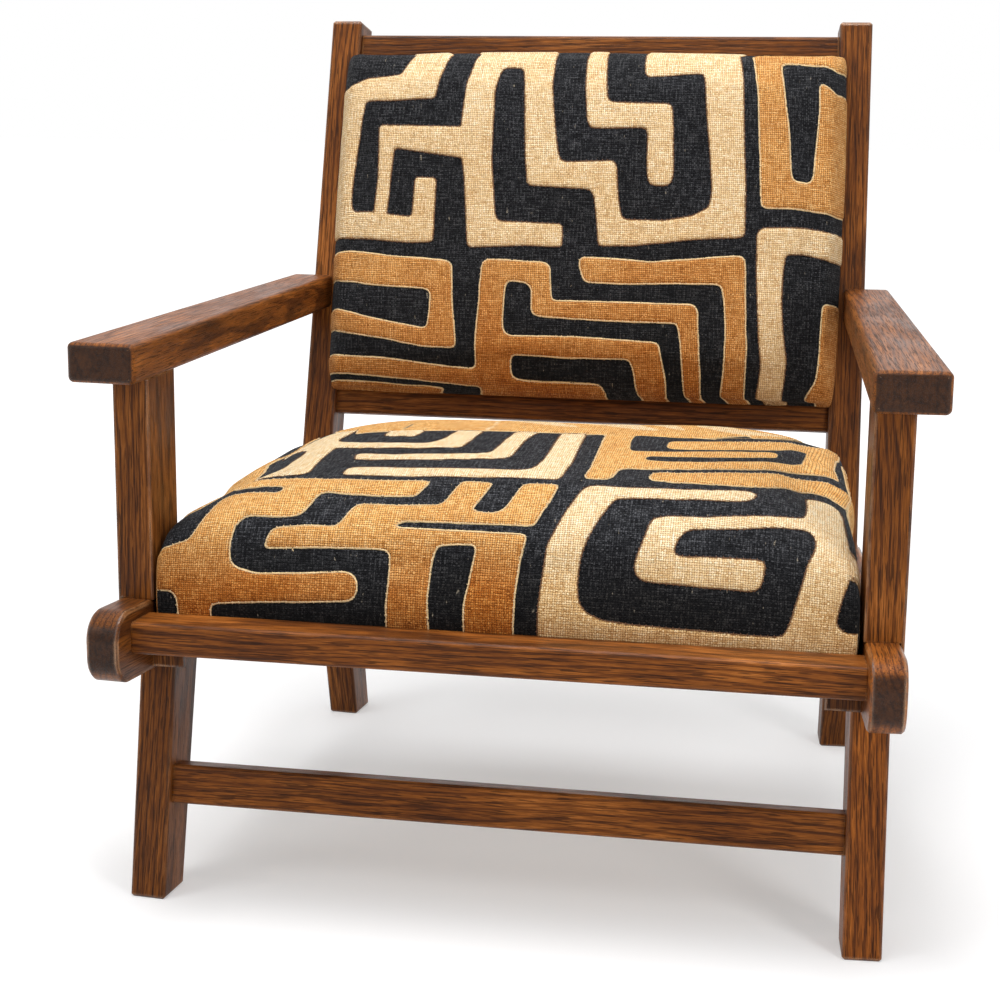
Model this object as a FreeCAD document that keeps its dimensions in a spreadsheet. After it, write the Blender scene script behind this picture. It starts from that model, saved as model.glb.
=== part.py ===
# Low wooden lounge chair with a padded seat and a padded back, in appliqued raffia cloth.
# Millimetres, +X to the sitter's left, +Y to the back, +Z up, origin on the floor under the middle.
# Each side of the chair is a flat frame (rail, two legs, arm post, arm, back post) that toes in
# towards the back. A place in a side frame is given by three numbers:
#   inset  from the outer face of the side rail, inwards
#   along  from the nose of the side rail, backwards
#   up     from the floor
import FreeCAD, Part
import Sketcher
import math
import os
import re

Vector = FreeCAD.Vector

doc = FreeCAD.newDocument("lounge_chair")

# The driving dimensions: name, value in millimetres or degrees, and what it is.
SIZES = [
    ("front_width", 674, "across the outer faces of the side rails, at their noses"),
    ("overall_depth", 664, "nose of the side rails to the heel of the rear feet"),
    ("side_toe", 4.4, "angle by which each side frame toes in, degrees"),
    ("edge_radius", 3, "easing of the long edges of the timber"),
    ("joint_gap", 0.15, "clearance all round a tenon in its mortise"),
    ("seat_gap", 0.3, "clearance of upholstery and loose boards from their neighbours"),
    ("overrun", 2, "how far a cutting shape passes the wood it cuts"),
    ("rail_thickness", 29, "side rail, across"),
    ("rail_height", 62, "side rail, height"),
    ("rail_end_setback", 36, "back ends of the side rails in front of the rear heels"),
    ("rail_top", 277, "top of the side rail at its nose"),
    ("rail_drop", 2.2, "fall of the side rail to the back, degrees"),
    ("nose_radius", 24, "rounding of the side rail's nose"),
    ("rail_end_radius", 9, "rounding of the side rail's back end"),
    ("leg_thickness", 33, "legs, across"),
    ("chamfer", 2, "easing of the side rails' edges, the post tops and the soles"),
    ("front_leg_lip", 6, "cheek of the front leg inside the side rail, thickness"),
    ("front_leg_lip_rise", 25, "how far that cheek climbs the rail"),
    ("front_leg_foot", 65, "front of the front foot, behind the nose"),
    ("front_foot_depth", 42, "front foot, front to back"),
    ("front_leg_depth", 52, "front leg under the rail, front to back"),
    ("front_leg_rake", 9, "lean of the front leg, degrees"),
    ("rear_leg_lip", 11, "cheek of the rear leg outside the side rail, thickness"),
    ("rear_leg_lip_rise", 40, "how far that cheek climbs the rail"),
    ("rear_foot_depth", 44, "rear foot, front to back"),
    ("rear_leg_depth", 50, "rear leg under the rail, front to back"),
    ("rear_leg_rake", 13.5, "splay of the rear leg, degrees"),
    ("arm_post_lip", 3, "cheek of the arm post outside the side rail, thickness"),
    ("arm_post_lip_drop", 28, "how far that cheek hangs down the rail"),
    ("arm_post_setback", 69, "front of the arm post, behind the nose"),
    ("arm_post_depth", 54, "arm post, front to back"),
    ("post_thickness", 33, "arm posts and back posts, across"),
    ("back_post_inset", 3, "back post's outer face inside the rail's outer face"),
    ("back_post_setback", 181, "front of the back post on the rail, in front of the rear heel"),
    ("back_post_depth", 38, "back post, front to back"),
    ("back_post_top", 787, "height of the front edge of the back post's top"),
    ("back_lean", 13.2, "lean of the back posts, degrees"),
    ("arm_setback", 30, "front end of the arm, behind the nose"),
    ("arm_top", 500, "height of the arm's top at the front"),
    ("arm_thickness", 34, "arm, height"),
    ("arm_rise", 2, "rise of the arm to the back, degrees"),
    ("arm_overhang", 25, "arm outside the rail's outer face, at the front"),
    ("arm_width", 61, "arm at the front, across"),
    ("arm_back_width", 46, "arm at the back, across"),
    ("arm_back_overhang", 22, "arm outside the rail's outer face, at the back"),
    ("arm_radius", 5, "rounding of the arm's edges"),
    ("front_rail_setback", 24, "front rail behind the noses"),
    ("front_rail_depth", 40, "front rail, front to back"),
    ("front_rail_height", 28, "front rail, height"),
    ("front_rail_drop", 12, "front rail's top below the side rails' tops at the nose"),
    ("front_rail_radius", 4, "rounding of the front rail's edges"),
    ("stretcher_up", 84, "underside of the front stretcher"),
    ("stretcher_height", 35, "front stretcher, height"),
    ("stretcher_depth", 24, "front stretcher, front to back"),
    ("stretcher_setback", 7, "front stretcher behind the faces of the legs"),
    ("rear_rail_setback", 224, "front of the rear seat rail, in front of the rear heels"),
    ("rear_rail_depth", 22, "rear seat rail, front to back"),
    ("rear_rail_height", 40, "rear seat rail, height"),
    ("back_rail_recess", 8, "back rails behind the faces of the back posts"),
    ("back_rail_thickness", 22, "back rails, front to back"),
    ("top_rail_height", 56, "top back rail, height"),
    ("top_rail_drop", 13, "top back rail below the ends of the back posts"),
    ("lower_rail_height", 52, "lower back rail, height"),
    ("lower_rail_drop", 24, "underside of the lower back rail below the foot of the back pad"),
    ("tenon_thickness", 11, "tenons, across"),
    ("tenon_length", 20, "tenons, length"),
    ("tenon_shoulder", 6, "shoulder at each end of a tenon's width"),
    ("board_up", 240, "underside of the seat board"),
    ("board_thickness", 12, "seat board, plywood"),
    ("board_gap", 1, "seat board from the rails round it"),
    ("cleat_height", 14, "cleats under the seat board, height"),
    ("cleat_width", 22, "cleats under the seat board, across"),
    ("cleat_end_gap", 8, "cleats from the pieces at their ends"),
    ("block_leg", 30, "corner block, short sides"),
    ("block_height", 24, "corner block, height"),
    ("cushion_edge", 108, "seat cushion, height of its top seam over the board"),
    ("cushion_crown", 32, "rise of the seat cushion's top over its seams, in the middle"),
    ("cushion_belly", 8, "swell of the seat cushion's sides"),
    ("cushion_tuck", 5, "how far the seat cushion's sides draw in at its base"),
    ("cushion_seam_inset", 12, "top seam of the seat cushion inside the rails"),
    ("cushion_setback", 239, "back of the seat cushion, in front of the rear heels"),
    ("panel_thickness", 9, "plywood panel of the back pad"),
    ("panel_gap", 2, "panel of the back pad from the back posts"),
    ("panel_inset", 12, "panel inside the top and the foot of the back pad"),
    ("pad_overlap", 7.5, "back pad over each back post, at its foot"),
    ("pad_foot", 409, "foot of the back pad, up the slope from the floor"),
    ("pad_top", 774, "top of the back pad, up the slope from the floor"),
    ("pad_edge", 42, "back pad, thickness at its front seam"),
    ("pad_crown", 14, "swell of the back pad's face"),
    ("pad_belly", 7, "swell of the back pad's sides"),
    ("pad_seam_inset", 9, "front seam of the back pad inside its sides"),
    ("screw_radius", 2, "wood screws, shank"),
    ("screw_head_radius", 4, "wood screws, head"),
    ("screw_head_height", 3, "wood screws, hexagonal head"),
    ("screw_gap", 0.2, "clearance round a screw"),
    ("screw_bite", 8, "how far a short screw enters the wood it holds"),
    ("arm_screw_radius", 3, "long screws through the back posts, shank"),
    ("arm_screw_head_radius", 5.5, "long screws through the back posts, head"),
    ("arm_screw_bite", 45, "how far a long screw enters the arm"),
    ("plug_depth", 9, "wooden plugs over the long screws"),
]

# Sizes that follow from the driving ones: name and formula.
LAYOUT = [
    ("half_front", "front_width / 2"),
    ("half_depth", "(overall_depth - rail_thickness * sin(side_toe)) / 2"),
    ("drop_slope", "tan(rail_drop)"),
    ("toe_slope", "tan(side_toe)"),
    ("lean_slope", "tan(back_lean)"),
    ("rise_slope", "tan(arm_rise)"),
    ("rail_length", "overall_depth - rail_end_setback"),
    ("rail_fall", "rail_height / cos(rail_drop)"),
    ("rear_rail_along", "overall_depth - rear_rail_setback"),
    ("cushion_back", "overall_depth - cushion_setback"),
    ("back_post_foot", "overall_depth - back_post_setback"),
    ("rear_leg_foot", "overall_depth / cos(side_toe) - rear_foot_depth"),
    ("back_post_foot_up", "rail_top - back_post_foot * drop_slope"),
    ("back_post_top_along",
     "back_post_foot + (back_post_top - back_post_foot_up) * lean_slope"),
    ("back_post_heel_along",
     "(back_post_foot + (rail_top - back_post_foot_up) * lean_slope"
     " + back_post_depth / cos(back_lean)) / (1 + drop_slope * lean_slope)"),
    ("back_post_inner", "back_post_inset + post_thickness"),
    ("arm_post_inner", "post_thickness - arm_post_lip"),
    ("front_leg_inner", "rail_thickness + front_leg_lip"),
    ("arm_fall", "arm_thickness / cos(arm_rise)"),
    ("arm_back_along",
     "(back_post_foot + (arm_top - arm_setback * rise_slope - back_post_foot_up) * lean_slope)"
     " / (1 - rise_slope * lean_slope)"),
    ("arm_back_low_along",
     "(back_post_foot + (arm_top - arm_fall - arm_setback * rise_slope - back_post_foot_up)"
     " * lean_slope) / (1 - rise_slope * lean_slope)"),
    ("slope_angle", "atan(lean_slope * cos(side_toe))"),
    ("slope_foot",
     "-half_depth - back_post_inner * sin(side_toe)"
     " + (back_post_foot - back_post_foot_up * lean_slope) * cos(side_toe)"),
    ("slope_top", "back_post_top / cos(slope_angle)"),
    ("top_rail_up", "slope_top - top_rail_drop - top_rail_height"),
    ("lower_rail_up", "pad_foot - lower_rail_drop"),
    ("back_gap_half",
     "half_front - back_post_inner / cos(side_toe) - toe_slope * (slope_foot + half_depth)"),
    ("front_rail_up", "rail_top - front_rail_drop - front_rail_height"),
    ("front_rail_front", "-half_depth + front_rail_setback"),
    ("front_rail_back", "front_rail_front + front_rail_depth"),
    ("rear_rail_front", "-half_depth + rear_rail_along"),
    ("cleat_front", "front_leg_foot + front_foot_depth + front_leg_depth + cleat_end_gap"),
    ("cleat_back", "rear_rail_along - block_leg - cleat_end_gap"),
    ("board_front", "front_rail_back + board_gap"),
    ("board_back", "rear_rail_front + rear_rail_depth"),
    ("board_top", "board_up + board_thickness"),
    ("cushion_front", "front_rail_back + seat_gap"),
    ("cushion_length", "cushion_back - half_depth - cushion_front"),
    ("pad_height", "pad_top - pad_foot"),
    ("pad_half", "back_gap_half - toe_slope * sin(slope_angle) * pad_foot + pad_overlap"),
    ("pad_back", "panel_thickness - back_rail_recess + seat_gap"),
]

sizes = doc.addObject("Spreadsheet::Sheet", "Sizes")
layout = doc.addObject("Spreadsheet::Sheet", "Layout")
OWNER = {name: "Sizes" for name, value, note in SIZES}
OWNER.update({name: "Layout" for name, formula in LAYOUT})


def bound(formula):
    """A formula in plain names, as an expression of the two sheets."""
    return re.sub(r"\b[a-z]\w*\b",
                  lambda word: OWNER[word[0]] + "." + word[0] if word[0] in OWNER else word[0],
                  formula)


for row, (name, value, note) in enumerate(SIZES, start=1):
    sizes.set("A%d" % row, name)
    sizes.set("B%d" % row, str(value))
    sizes.set("C%d" % row, note)
    sizes.setAlias("B%d" % row, name)
doc.recompute()
for row, (name, formula) in enumerate(LAYOUT, start=1):
    layout.set("A%d" % row, name)
    layout.setAlias("B%d" % row, name)
    layout.set("B%d" % row, "=" + bound(formula))
doc.recompute()


def size(formula):
    """The number that a formula in plain names gives."""
    return float(sizes.evalExpression(bound(formula)))


def bind(target, **formulas):
    for prop, formula in formulas.items():
        target.setExpression(prop, bound(formula))


# Helpers for sketches and features

def new_body(name):
    body = doc.addObject("PartDesign::Body", name)
    body.Label = name
    return body


def plane_of(body, role):
    return [feature for feature in body.Origin.OriginFeatures if feature.Role == role][0]


def new_sketch(body, role, lift):
    sketch = body.newObject("Sketcher::SketchObject", body.Name + "_sketch")
    sketch.AttachmentSupport = [(plane_of(body, role), "")]
    sketch.MapMode = "FlatFace"
    sketch.setExpression("AttachmentOffset.Base.z", bound(lift))
    return sketch


def fix_corner(sketch, edge, corner, number):
    """Holds the start of an edge at a corner that two formulas give."""
    for axis, formula in zip("XY", corner):
        index = sketch.addConstraint(
            Sketcher.Constraint("Distance" + axis, -1, 1, edge, 1, size(formula)))
        label = "corner%d%s" % (number, axis)
        sketch.renameConstraint(index, label)
        sketch.setExpression("Constraints." + label, bound(formula))


def outline(body, role, corners, lift="0"):
    """A closed outline of straight edges through corners, each a pair of formulas."""
    sketch = new_sketch(body, role, lift)
    points = [Vector(size(across), size(upward), 0) for across, upward in corners]
    count = len(points)
    for number in range(count):
        sketch.addGeometry(Part.LineSegment(points[number], points[(number + 1) % count]), False)
    for number in range(count):
        sketch.addConstraint(
            Sketcher.Constraint("Coincident", number, 2, (number + 1) % count, 1))
        fix_corner(sketch, number, corners[number], number)
    return sketch


def swollen_outline(body, role, corners, swells, lift):
    """A closed outline through corners, counter-clockwise; its edges bow out, or None for straight."""
    sketch = new_sketch(body, role, lift)
    points = [Vector(size(across), size(upward), 0) for across, upward in corners]
    count = len(points)
    for number, swell in enumerate(swells):
        start, end = points[number], points[(number + 1) % count]
        edge = Part.LineSegment(start, end)
        if swell is not None:
            outward = Vector(end.y - start.y, start.x - end.x, 0).normalize()
            edge = Part.Arc(start, (start + end) * 0.5 + outward * size(swell), end)
        sketch.addGeometry(edge, False)
    for number in range(count):
        sketch.addConstraint(
            Sketcher.Constraint("Coincident", number, 2, (number + 1) % count, 1))
        fix_corner(sketch, number, corners[number], number)
    for number, swell in enumerate(swells):
        if swell is None:
            continue
        this, following = corners[number], corners[(number + 1) % count]
        chord = "((%s) - (%s))^2 + ((%s) - (%s))^2" % (following[0], this[0], following[1], this[1])
        radius = "(%s) / (8 * (%s)) + (%s) / 2" % (chord, swell, swell)
        index = sketch.addConstraint(Sketcher.Constraint("Radius", number, size(radius)))
        label = "bow%d" % number
        sketch.renameConstraint(index, label)
        sketch.setExpression("Constraints." + label, bound(radius))
    return sketch


def pad(body, sketch, length, middle=False):
    feature = body.newObject("PartDesign::Pad", body.Name + "_pad")
    feature.Profile = sketch
    feature.Midplane = middle
    bind(feature, Length=length)
    body.Tip = feature
    doc.recompute()
    return feature


def pocket(body, sketch, length):
    """Cuts an outline both ways from its plane, and makes sure that it cut something."""
    before = body.Shape.Volume
    feature = body.newObject("PartDesign::Pocket", body.Name + "_pocket")
    feature.Profile = sketch
    feature.Midplane = True
    bind(feature, Length=length)
    body.Tip = feature
    doc.recompute()
    assert body.Shape.Volume < before, body.Name + " pocket cut nothing"
    return feature


def soften(body, radius, wanted, kind="Fillet"):
    """Rounds or chamfers the edges of the body that wanted() picks."""
    before = body.Tip
    edges = ["Edge%d" % number for number, edge in enumerate(before.Shape.Edges, start=1)
             if wanted(edge)]
    assert edges, body.Name + " has no such edges"
    feature = body.newObject("PartDesign::" + kind, body.Name + "_" + kind.lower())
    feature.Base = (before, edges)
    if kind == "Fillet":
        bind(feature, Radius=radius)
    else:
        bind(feature, Size=radius)
    body.Tip = feature
    doc.recompute()
    assert feature.isValid(), body.Name + " was not softened"


def direction(edge):
    """Unit vector along an edge from end to end, or None where it closes on itself."""
    if len(edge.Vertexes) < 2:
        return None
    step = edge.Vertexes[-1].Point - edge.Vertexes[0].Point
    return step.normalize() if step.Length else None


def runs_along(edge, axis):
    way = direction(edge)
    return way is not None and abs(way.dot(axis)) > math.cos(math.radians(1))


def slant(angle):
    """Unit vector in a side frame's plane, leaning back from upright by an angle in degrees."""
    return Vector(0, math.sin(math.radians(angle)), math.cos(math.radians(angle)))


def shifted(x, y, z, turn="0", axis="1; 0; 0"):
    return "placement(vector(%s; %s; %s); rotation(vector(%s); %s))" % (x, y, z, axis, turn)


def side_place(sign):
    """Placement of the side frame on one side: sign is 1 for +X and -1 for -X."""
    return shifted("%d * half_front" % sign, "-half_depth", "0", "%d * side_toe" % sign, "0; 0; 1")


def block(body, kind, place, lengths, grow=None):
    """An added or cut box: kind is Additive or Subtractive, and grow widens it on every side."""
    before = body.Shape.Volume
    feature = body.newObject("PartDesign::%sBox" % kind, body.Name + "_box")
    feature.AttachmentSupport = [(plane_of(body, "XY_Plane"), "")]
    feature.MapMode = "ObjectXY"
    spread = ""
    if grow:
        spread = " * " + shifted(*["-" + grow] * 3)
        lengths = ["%s + 2 * %s" % (length, grow) for length in lengths]
    bind(feature, AttachmentOffset=place + spread,
         Length=lengths[0], Width=lengths[1], Height=lengths[2])
    body.Tip = feature
    doc.recompute()
    changed = body.Shape.Volume - before
    assert changed > 0 if kind == "Additive" else changed < 0, body.Name + " box changed nothing"
    return feature


def side_slab(body, corners, outer, inner):
    """Pads an outline, given as (along, up) corners, between two insets of the +X side frame."""
    return pad(body, outline(body, "YZ_Plane", corners, "-(%s)" % inner), "(%s) - (%s)" % (inner, outer))


def in_side_frame(body):
    body.setExpression("Placement", bound(side_place(1)))


def joint(male, female, outer, inner, along, up, depth, height, tilt="0"):
    """A tenon on one piece of a side frame and its mortise in another, with the joint's clearance."""
    place = shifted("-(%s)" % inner, along, up, tilt)
    lengths = ["(%s) - (%s)" % (inner, outer), depth, height]
    block(male, "Additive", place, lengths)
    block(female, "Subtractive", place, lengths, "joint_gap")


def cross_joint(rail, side_piece, face, along, up, depth, height, tilt="0"):
    """Tenons on both ends of a rail between the side frames, and the mortise in the +X side piece."""
    lengths = ["tenon_length + tenon_shoulder", depth, height]
    for sign in (1, -1):
        start = "-(%s) - tenon_shoulder" % face if sign > 0 else "%s - tenon_length" % face
        block(rail, "Additive", side_place(sign) + " * " + shifted(start, along, up, tilt), lengths)
    block(side_piece, "Subtractive", shifted("-(%s) - tenon_shoulder" % face, along, up, tilt),
          lengths, "joint_gap")


def trim_ends(rail, face):
    """Cuts both ends of a rail to the inner faces of the side frames, at inset face."""
    for sign in (1, -1):
        start = "-(%s)" % face if sign > 0 else "%s - half_front" % face
        place = side_place(sign) + " * " + shifted(start, "-half_depth", "0")
        block(rail, "Subtractive", place, ["half_front", "2 * overall_depth", "2 * back_post_top"])


# Heights of the lines that the pieces of a side frame meet at

def rail_top_at(along):
    return "rail_top - (%s) * drop_slope" % along


def rail_foot_at(along):
    return "rail_top - rail_fall - (%s) * drop_slope" % along


def arm_foot_at(along):
    return "arm_top - arm_fall + ((%s) - arm_setback) * rise_slope" % along


def meet_rail_foot(foot, slope):
    """Along and up of the point where a leg's face, from its foot at a slope, meets the rail."""
    along = "((%s) + (rail_top - rail_fall) * (%s)) / (1 + drop_slope * (%s))" % (foot, slope, slope)
    return along, rail_foot_at(along)


# Side frame

def make_side_rail():
    body = new_body("side_rail_right_body")
    side_slab(body, [("0", rail_foot_at("0")), ("rail_length", rail_foot_at("rail_length")),
                     ("rail_length", rail_top_at("rail_length")), ("0", "rail_top")],
              "0", "rail_thickness")
    across = Vector(1, 0, 0)
    middle = size("rail_length") / 2
    soften(body, "nose_radius",
           lambda edge: runs_along(edge, across) and edge.CenterOfMass.y < middle)
    soften(body, "rail_end_radius",
           lambda edge: runs_along(edge, across) and edge.CenterOfMass.y > middle + middle / 2)
    soften(body, "chamfer", on_a_side_face, "Chamfer")
    in_side_frame(body)
    return body


def on_a_side_face(edge):
    """Whether an edge runs round one of the two flat sides of a side-frame piece."""
    places = [vertex.X for vertex in edge.Vertexes] + [edge.CenterOfMass.x]
    return max(places) - min(places) < size("joint_gap")


def long_edges(lean_low, lean_high):
    """Picks the edges that lean back from upright by an angle within a range, in degrees."""
    def wanted(edge):
        way = direction(edge)
        if way is None or abs(way.x) > math.sin(math.radians(1)):
            return False
        lean = math.degrees(math.atan2(way.y * math.copysign(1, way.z), abs(way.z)))
        return lean_low <= lean <= lean_high and edge.Length > size("rail_height")
    return wanted


def round_the_sole(body):
    floor = size("joint_gap")
    soften(body, "chamfer",
           lambda edge: max(vertex.Z for vertex in edge.Vertexes) < floor, "Chamfer")


def leg_tenon(leg, rail, along, tilt):
    """A tenon up the leg's own slope into the underside of the side rail."""
    joint(leg, rail, "(rail_thickness - tenon_thickness) / 2", "(rail_thickness + tenon_thickness) / 2",
          along, "(%s) - tenon_shoulder" % rail_foot_at(along),
          "front_leg_depth - 3 * tenon_shoulder", "tenon_length + tenon_shoulder", tilt)


def make_front_leg(rail):
    body = new_body("front_leg_right_body")
    front = "tan(front_leg_rake)"
    top_front = meet_rail_foot("front_leg_foot", front)
    back = "(%s + front_leg_depth - front_leg_foot - front_foot_depth) / (%s)" % top_front
    heel = "front_leg_foot + front_foot_depth"
    top_back = meet_rail_foot(heel, back)
    outer = "front_leg_inner - leg_thickness"
    side_slab(body, [("front_leg_foot", "0"), (heel, "0"), top_back, top_front],
              outer, "front_leg_inner")
    lip_front = ("%s + front_leg_lip_rise * %s" % (top_front[0], front),
                 "%s + front_leg_lip_rise" % top_front[1])
    lip_back = ("%s + front_leg_lip_rise * (%s)" % (top_back[0], back),
                "%s + front_leg_lip_rise" % top_back[1])
    side_slab(body, [("front_leg_foot", "0"), (heel, "0"), top_back, lip_back, lip_front, top_front],
              "rail_thickness + joint_gap", "front_leg_inner")
    soften(body, "edge_radius", long_edges(1, 30))
    round_the_sole(body)
    leg_tenon(body, rail, top_front[0] + " + 2 * tenon_shoulder", "-front_leg_rake")
    in_side_frame(body)
    return body


def make_rear_leg(rail):
    body = new_body("rear_leg_right_body")
    front = "-tan(rear_leg_rake)"
    top_front = meet_rail_foot("rear_leg_foot", front)
    heel = "rear_leg_foot + rear_foot_depth"
    back = "(%s + rear_leg_depth - rear_leg_foot - rear_foot_depth) / (%s)" % top_front
    top_back = meet_rail_foot(heel, back)
    side_slab(body, [("rear_leg_foot", "0"), (heel, "0"), top_back, top_front],
              "-rear_leg_lip", "leg_thickness - rear_leg_lip")
    lip_front = ("%s + rear_leg_lip_rise * (%s)" % (top_front[0], front),
                 "%s + rear_leg_lip_rise" % top_front[1])
    lip_back = ("%s + rear_leg_lip_rise * (%s)" % (top_back[0], back),
                "%s + rear_leg_lip_rise" % top_back[1])
    side_slab(body, [("rear_leg_foot", "0"), (heel, "0"), top_back, lip_back, lip_front, top_front],
              "-rear_leg_lip", "-joint_gap")
    soften(body, "edge_radius", long_edges(-30, -1))
    round_the_sole(body)
    joint(body, rail, "tenon_shoulder", "tenon_shoulder + tenon_thickness",
          top_front[0] + " + 2 * tenon_shoulder",
          "(%s) - tenon_shoulder" % rail_foot_at(top_front[0]),
          "rear_leg_depth - 4 * tenon_shoulder", "tenon_length + tenon_shoulder", "rear_leg_rake")
    in_side_frame(body)
    return body


def make_arm_post(rail):
    body = new_body("arm_post_right_body")
    front = "arm_post_setback"
    back = "arm_post_setback + arm_post_depth"
    side_slab(body, [(front, rail_top_at(front)), (back, rail_top_at(back)),
                     (back, arm_foot_at(back)), (front, arm_foot_at(front))],
              "-arm_post_lip", "arm_post_inner")
    side_slab(body, [(front, rail_top_at(front) + " - arm_post_lip_drop"),
                     (back, rail_top_at(back) + " - arm_post_lip_drop"),
                     (back, rail_top_at(back) + " + tenon_shoulder"),
                     (front, rail_top_at(front) + " + tenon_shoulder")],
              "-arm_post_lip", "-joint_gap")
    upright = Vector(0, 0, 1)
    soften(body, "edge_radius / 2",
           lambda edge: runs_along(edge, upright) and edge.Length > size("arm_post_depth"))
    joint(body, rail, "(rail_thickness - tenon_thickness) / 2", "(rail_thickness + tenon_thickness) / 2",
          front + " + 2 * tenon_shoulder", rail_top_at(back) + " - tenon_length",
          "arm_post_depth - 4 * tenon_shoulder", "tenon_length + 2 * tenon_shoulder")
    in_side_frame(body)
    return body


def make_back_post(rail):
    body = new_body("back_post_right_body")
    side_slab(body, [("back_post_foot", "back_post_foot_up"),
                     ("back_post_heel_along", rail_top_at("back_post_heel_along")),
                     ("back_post_top_along + back_post_depth * cos(back_lean)",
                      "back_post_top - back_post_depth * sin(back_lean)"),
                     ("back_post_top_along", "back_post_top")],
              "back_post_inset", "back_post_inner")
    soften(body, "edge_radius", long_edges(1, 30))
    top = slant(size("back_lean"))
    reach = size("back_post_top_along * sin(back_lean) + back_post_top * cos(back_lean)")
    soften(body, "chamfer",
           lambda edge: abs(edge.CenterOfMass.dot(top) - reach) < size("joint_gap"), "Chamfer")
    joint(body, rail, "(rail_thickness - tenon_thickness) / 2", "(rail_thickness + tenon_thickness) / 2",
          "back_post_foot + (tenon_shoulder - tenon_length) * lean_slope + tenon_shoulder",
          "back_post_foot_up - tenon_length",
          "back_post_depth - 2 * tenon_shoulder", "tenon_length + 2 * tenon_shoulder", "-back_lean")
    in_side_frame(body)
    return body


def make_arm(arm_post):
    body = new_body("arm_right_body")
    side_slab(body, [("arm_setback", "arm_top - arm_fall"),
                     ("arm_back_low_along", arm_foot_at("arm_back_low_along")),
                     ("arm_back_along", "arm_top + (arm_back_along - arm_setback) * rise_slope"),
                     ("arm_setback", "arm_top")],
              "-arm_overhang", "arm_width - arm_overhang")
    inner_front = "arm_overhang - arm_width"
    inner_back = "arm_back_overhang - arm_back_width"
    cut_line = "arm_back_along + overrun"
    for front, back, beyond in ((inner_front, inner_back, inner_front + " - overrun"),
                                ("arm_overhang", "arm_back_overhang", "arm_overhang + overrun")):
        taper = outline(body, "XY_Plane", [(front, "arm_setback"), (back, "arm_back_along"),
                                           (back, cut_line), (beyond, cut_line),
                                           (beyond, "arm_setback")], "arm_top")
        pocket(body, taper, "4 * arm_thickness")
    back_end = size("arm_back_low_along")
    soften(body, "arm_radius", lambda edge: edge.CenterOfMass.y < back_end - size("arm_radius"))
    joint(arm_post, body, "(rail_thickness - tenon_thickness) / 2",
          "(rail_thickness + tenon_thickness) / 2", "arm_post_setback + 2 * tenon_shoulder",
          arm_foot_at("arm_post_setback") + " - tenon_shoulder",
          "arm_post_depth - 4 * tenon_shoulder", "tenon_length + tenon_shoulder")
    in_side_frame(body)
    return body


# Rails between the side frames, each drawn as its section and padded across the chair

def section_bar(name, corners, radius):
    body = new_body(name)
    pad(body, outline(body, "YZ_Plane", corners), "front_width", middle=True)
    across = Vector(1, 0, 0)
    soften(body, radius, lambda edge: runs_along(edge, across))
    return body


def make_front_rail(side_rail):
    front, back = "front_rail_front", "front_rail_back"
    low, high = "front_rail_up", "front_rail_up + front_rail_height"
    body = section_bar("front_rail_body", [(front, low), (back, low), (back, high), (front, high)],
                       "front_rail_radius")
    trim_ends(body, "rail_thickness")
    cross_joint(body, side_rail, "rail_thickness", "front_rail_setback + 2 * tenon_shoulder",
                "front_rail_up + tenon_shoulder", "front_rail_depth - 3 * tenon_shoulder",
                "front_rail_height - 2 * tenon_shoulder")
    return body


def make_rear_rail(side_rail):
    front, back = "rear_rail_front", "rear_rail_front + rear_rail_depth"
    low, high = "board_up - rear_rail_height", "board_up"
    body = section_bar("rear_rail_body", [(front, low), (back, low), (back, high), (front, high)],
                       "edge_radius / 2")
    trim_ends(body, "rail_thickness")
    cross_joint(body, side_rail, "rail_thickness", "rear_rail_along + tenon_shoulder * 3 / 2",
                "board_up - rear_rail_height + 2 * tenon_shoulder", "tenon_thickness",
                "rear_rail_height - 3 * tenon_shoulder")
    return body


def make_stretcher(front_leg):
    rake = "front_leg_rake"
    foot = ("-half_depth - front_leg_inner * sin(side_toe) + (front_leg_foot + stretcher_setback"
            " + stretcher_up * tan(front_leg_rake)) * cos(side_toe)")
    deep = ("stretcher_depth * cos(%s)" % rake, "stretcher_depth * sin(%s)" % rake)
    tall = ("stretcher_height * sin(%s)" % rake, "stretcher_height * cos(%s)" % rake)
    corners = [(foot, "stretcher_up"),
               ("%s + %s" % (foot, deep[0]), "stretcher_up - %s" % deep[1]),
               ("%s + %s + %s" % (foot, deep[0], tall[0]), "stretcher_up - %s + %s" % (deep[1], tall[1])),
               ("%s + %s" % (foot, tall[0]), "stretcher_up + %s" % tall[1])]
    body = section_bar("front_stretcher_body", corners, "edge_radius")
    trim_ends(body, "front_leg_inner")
    cross_joint(body, front_leg, "front_leg_inner",
                "front_leg_foot + stretcher_setback + (stretcher_up + tenon_shoulder)"
                " * tan(front_leg_rake) + tenon_shoulder",
                "stretcher_up + tenon_shoulder / 2", "stretcher_depth - 2 * tenon_shoulder",
                "stretcher_height - 2 * tenon_shoulder", "-front_leg_rake")
    return body


def on_slope(behind, up):
    """World (y, z) of a point of the sloping back: behind the posts' faces, and up the slope."""
    return ("slope_foot + (%s) * sin(slope_angle) + (%s) * cos(slope_angle)" % (up, behind),
            "(%s) * cos(slope_angle) - (%s) * sin(slope_angle)" % (up, behind))


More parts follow.
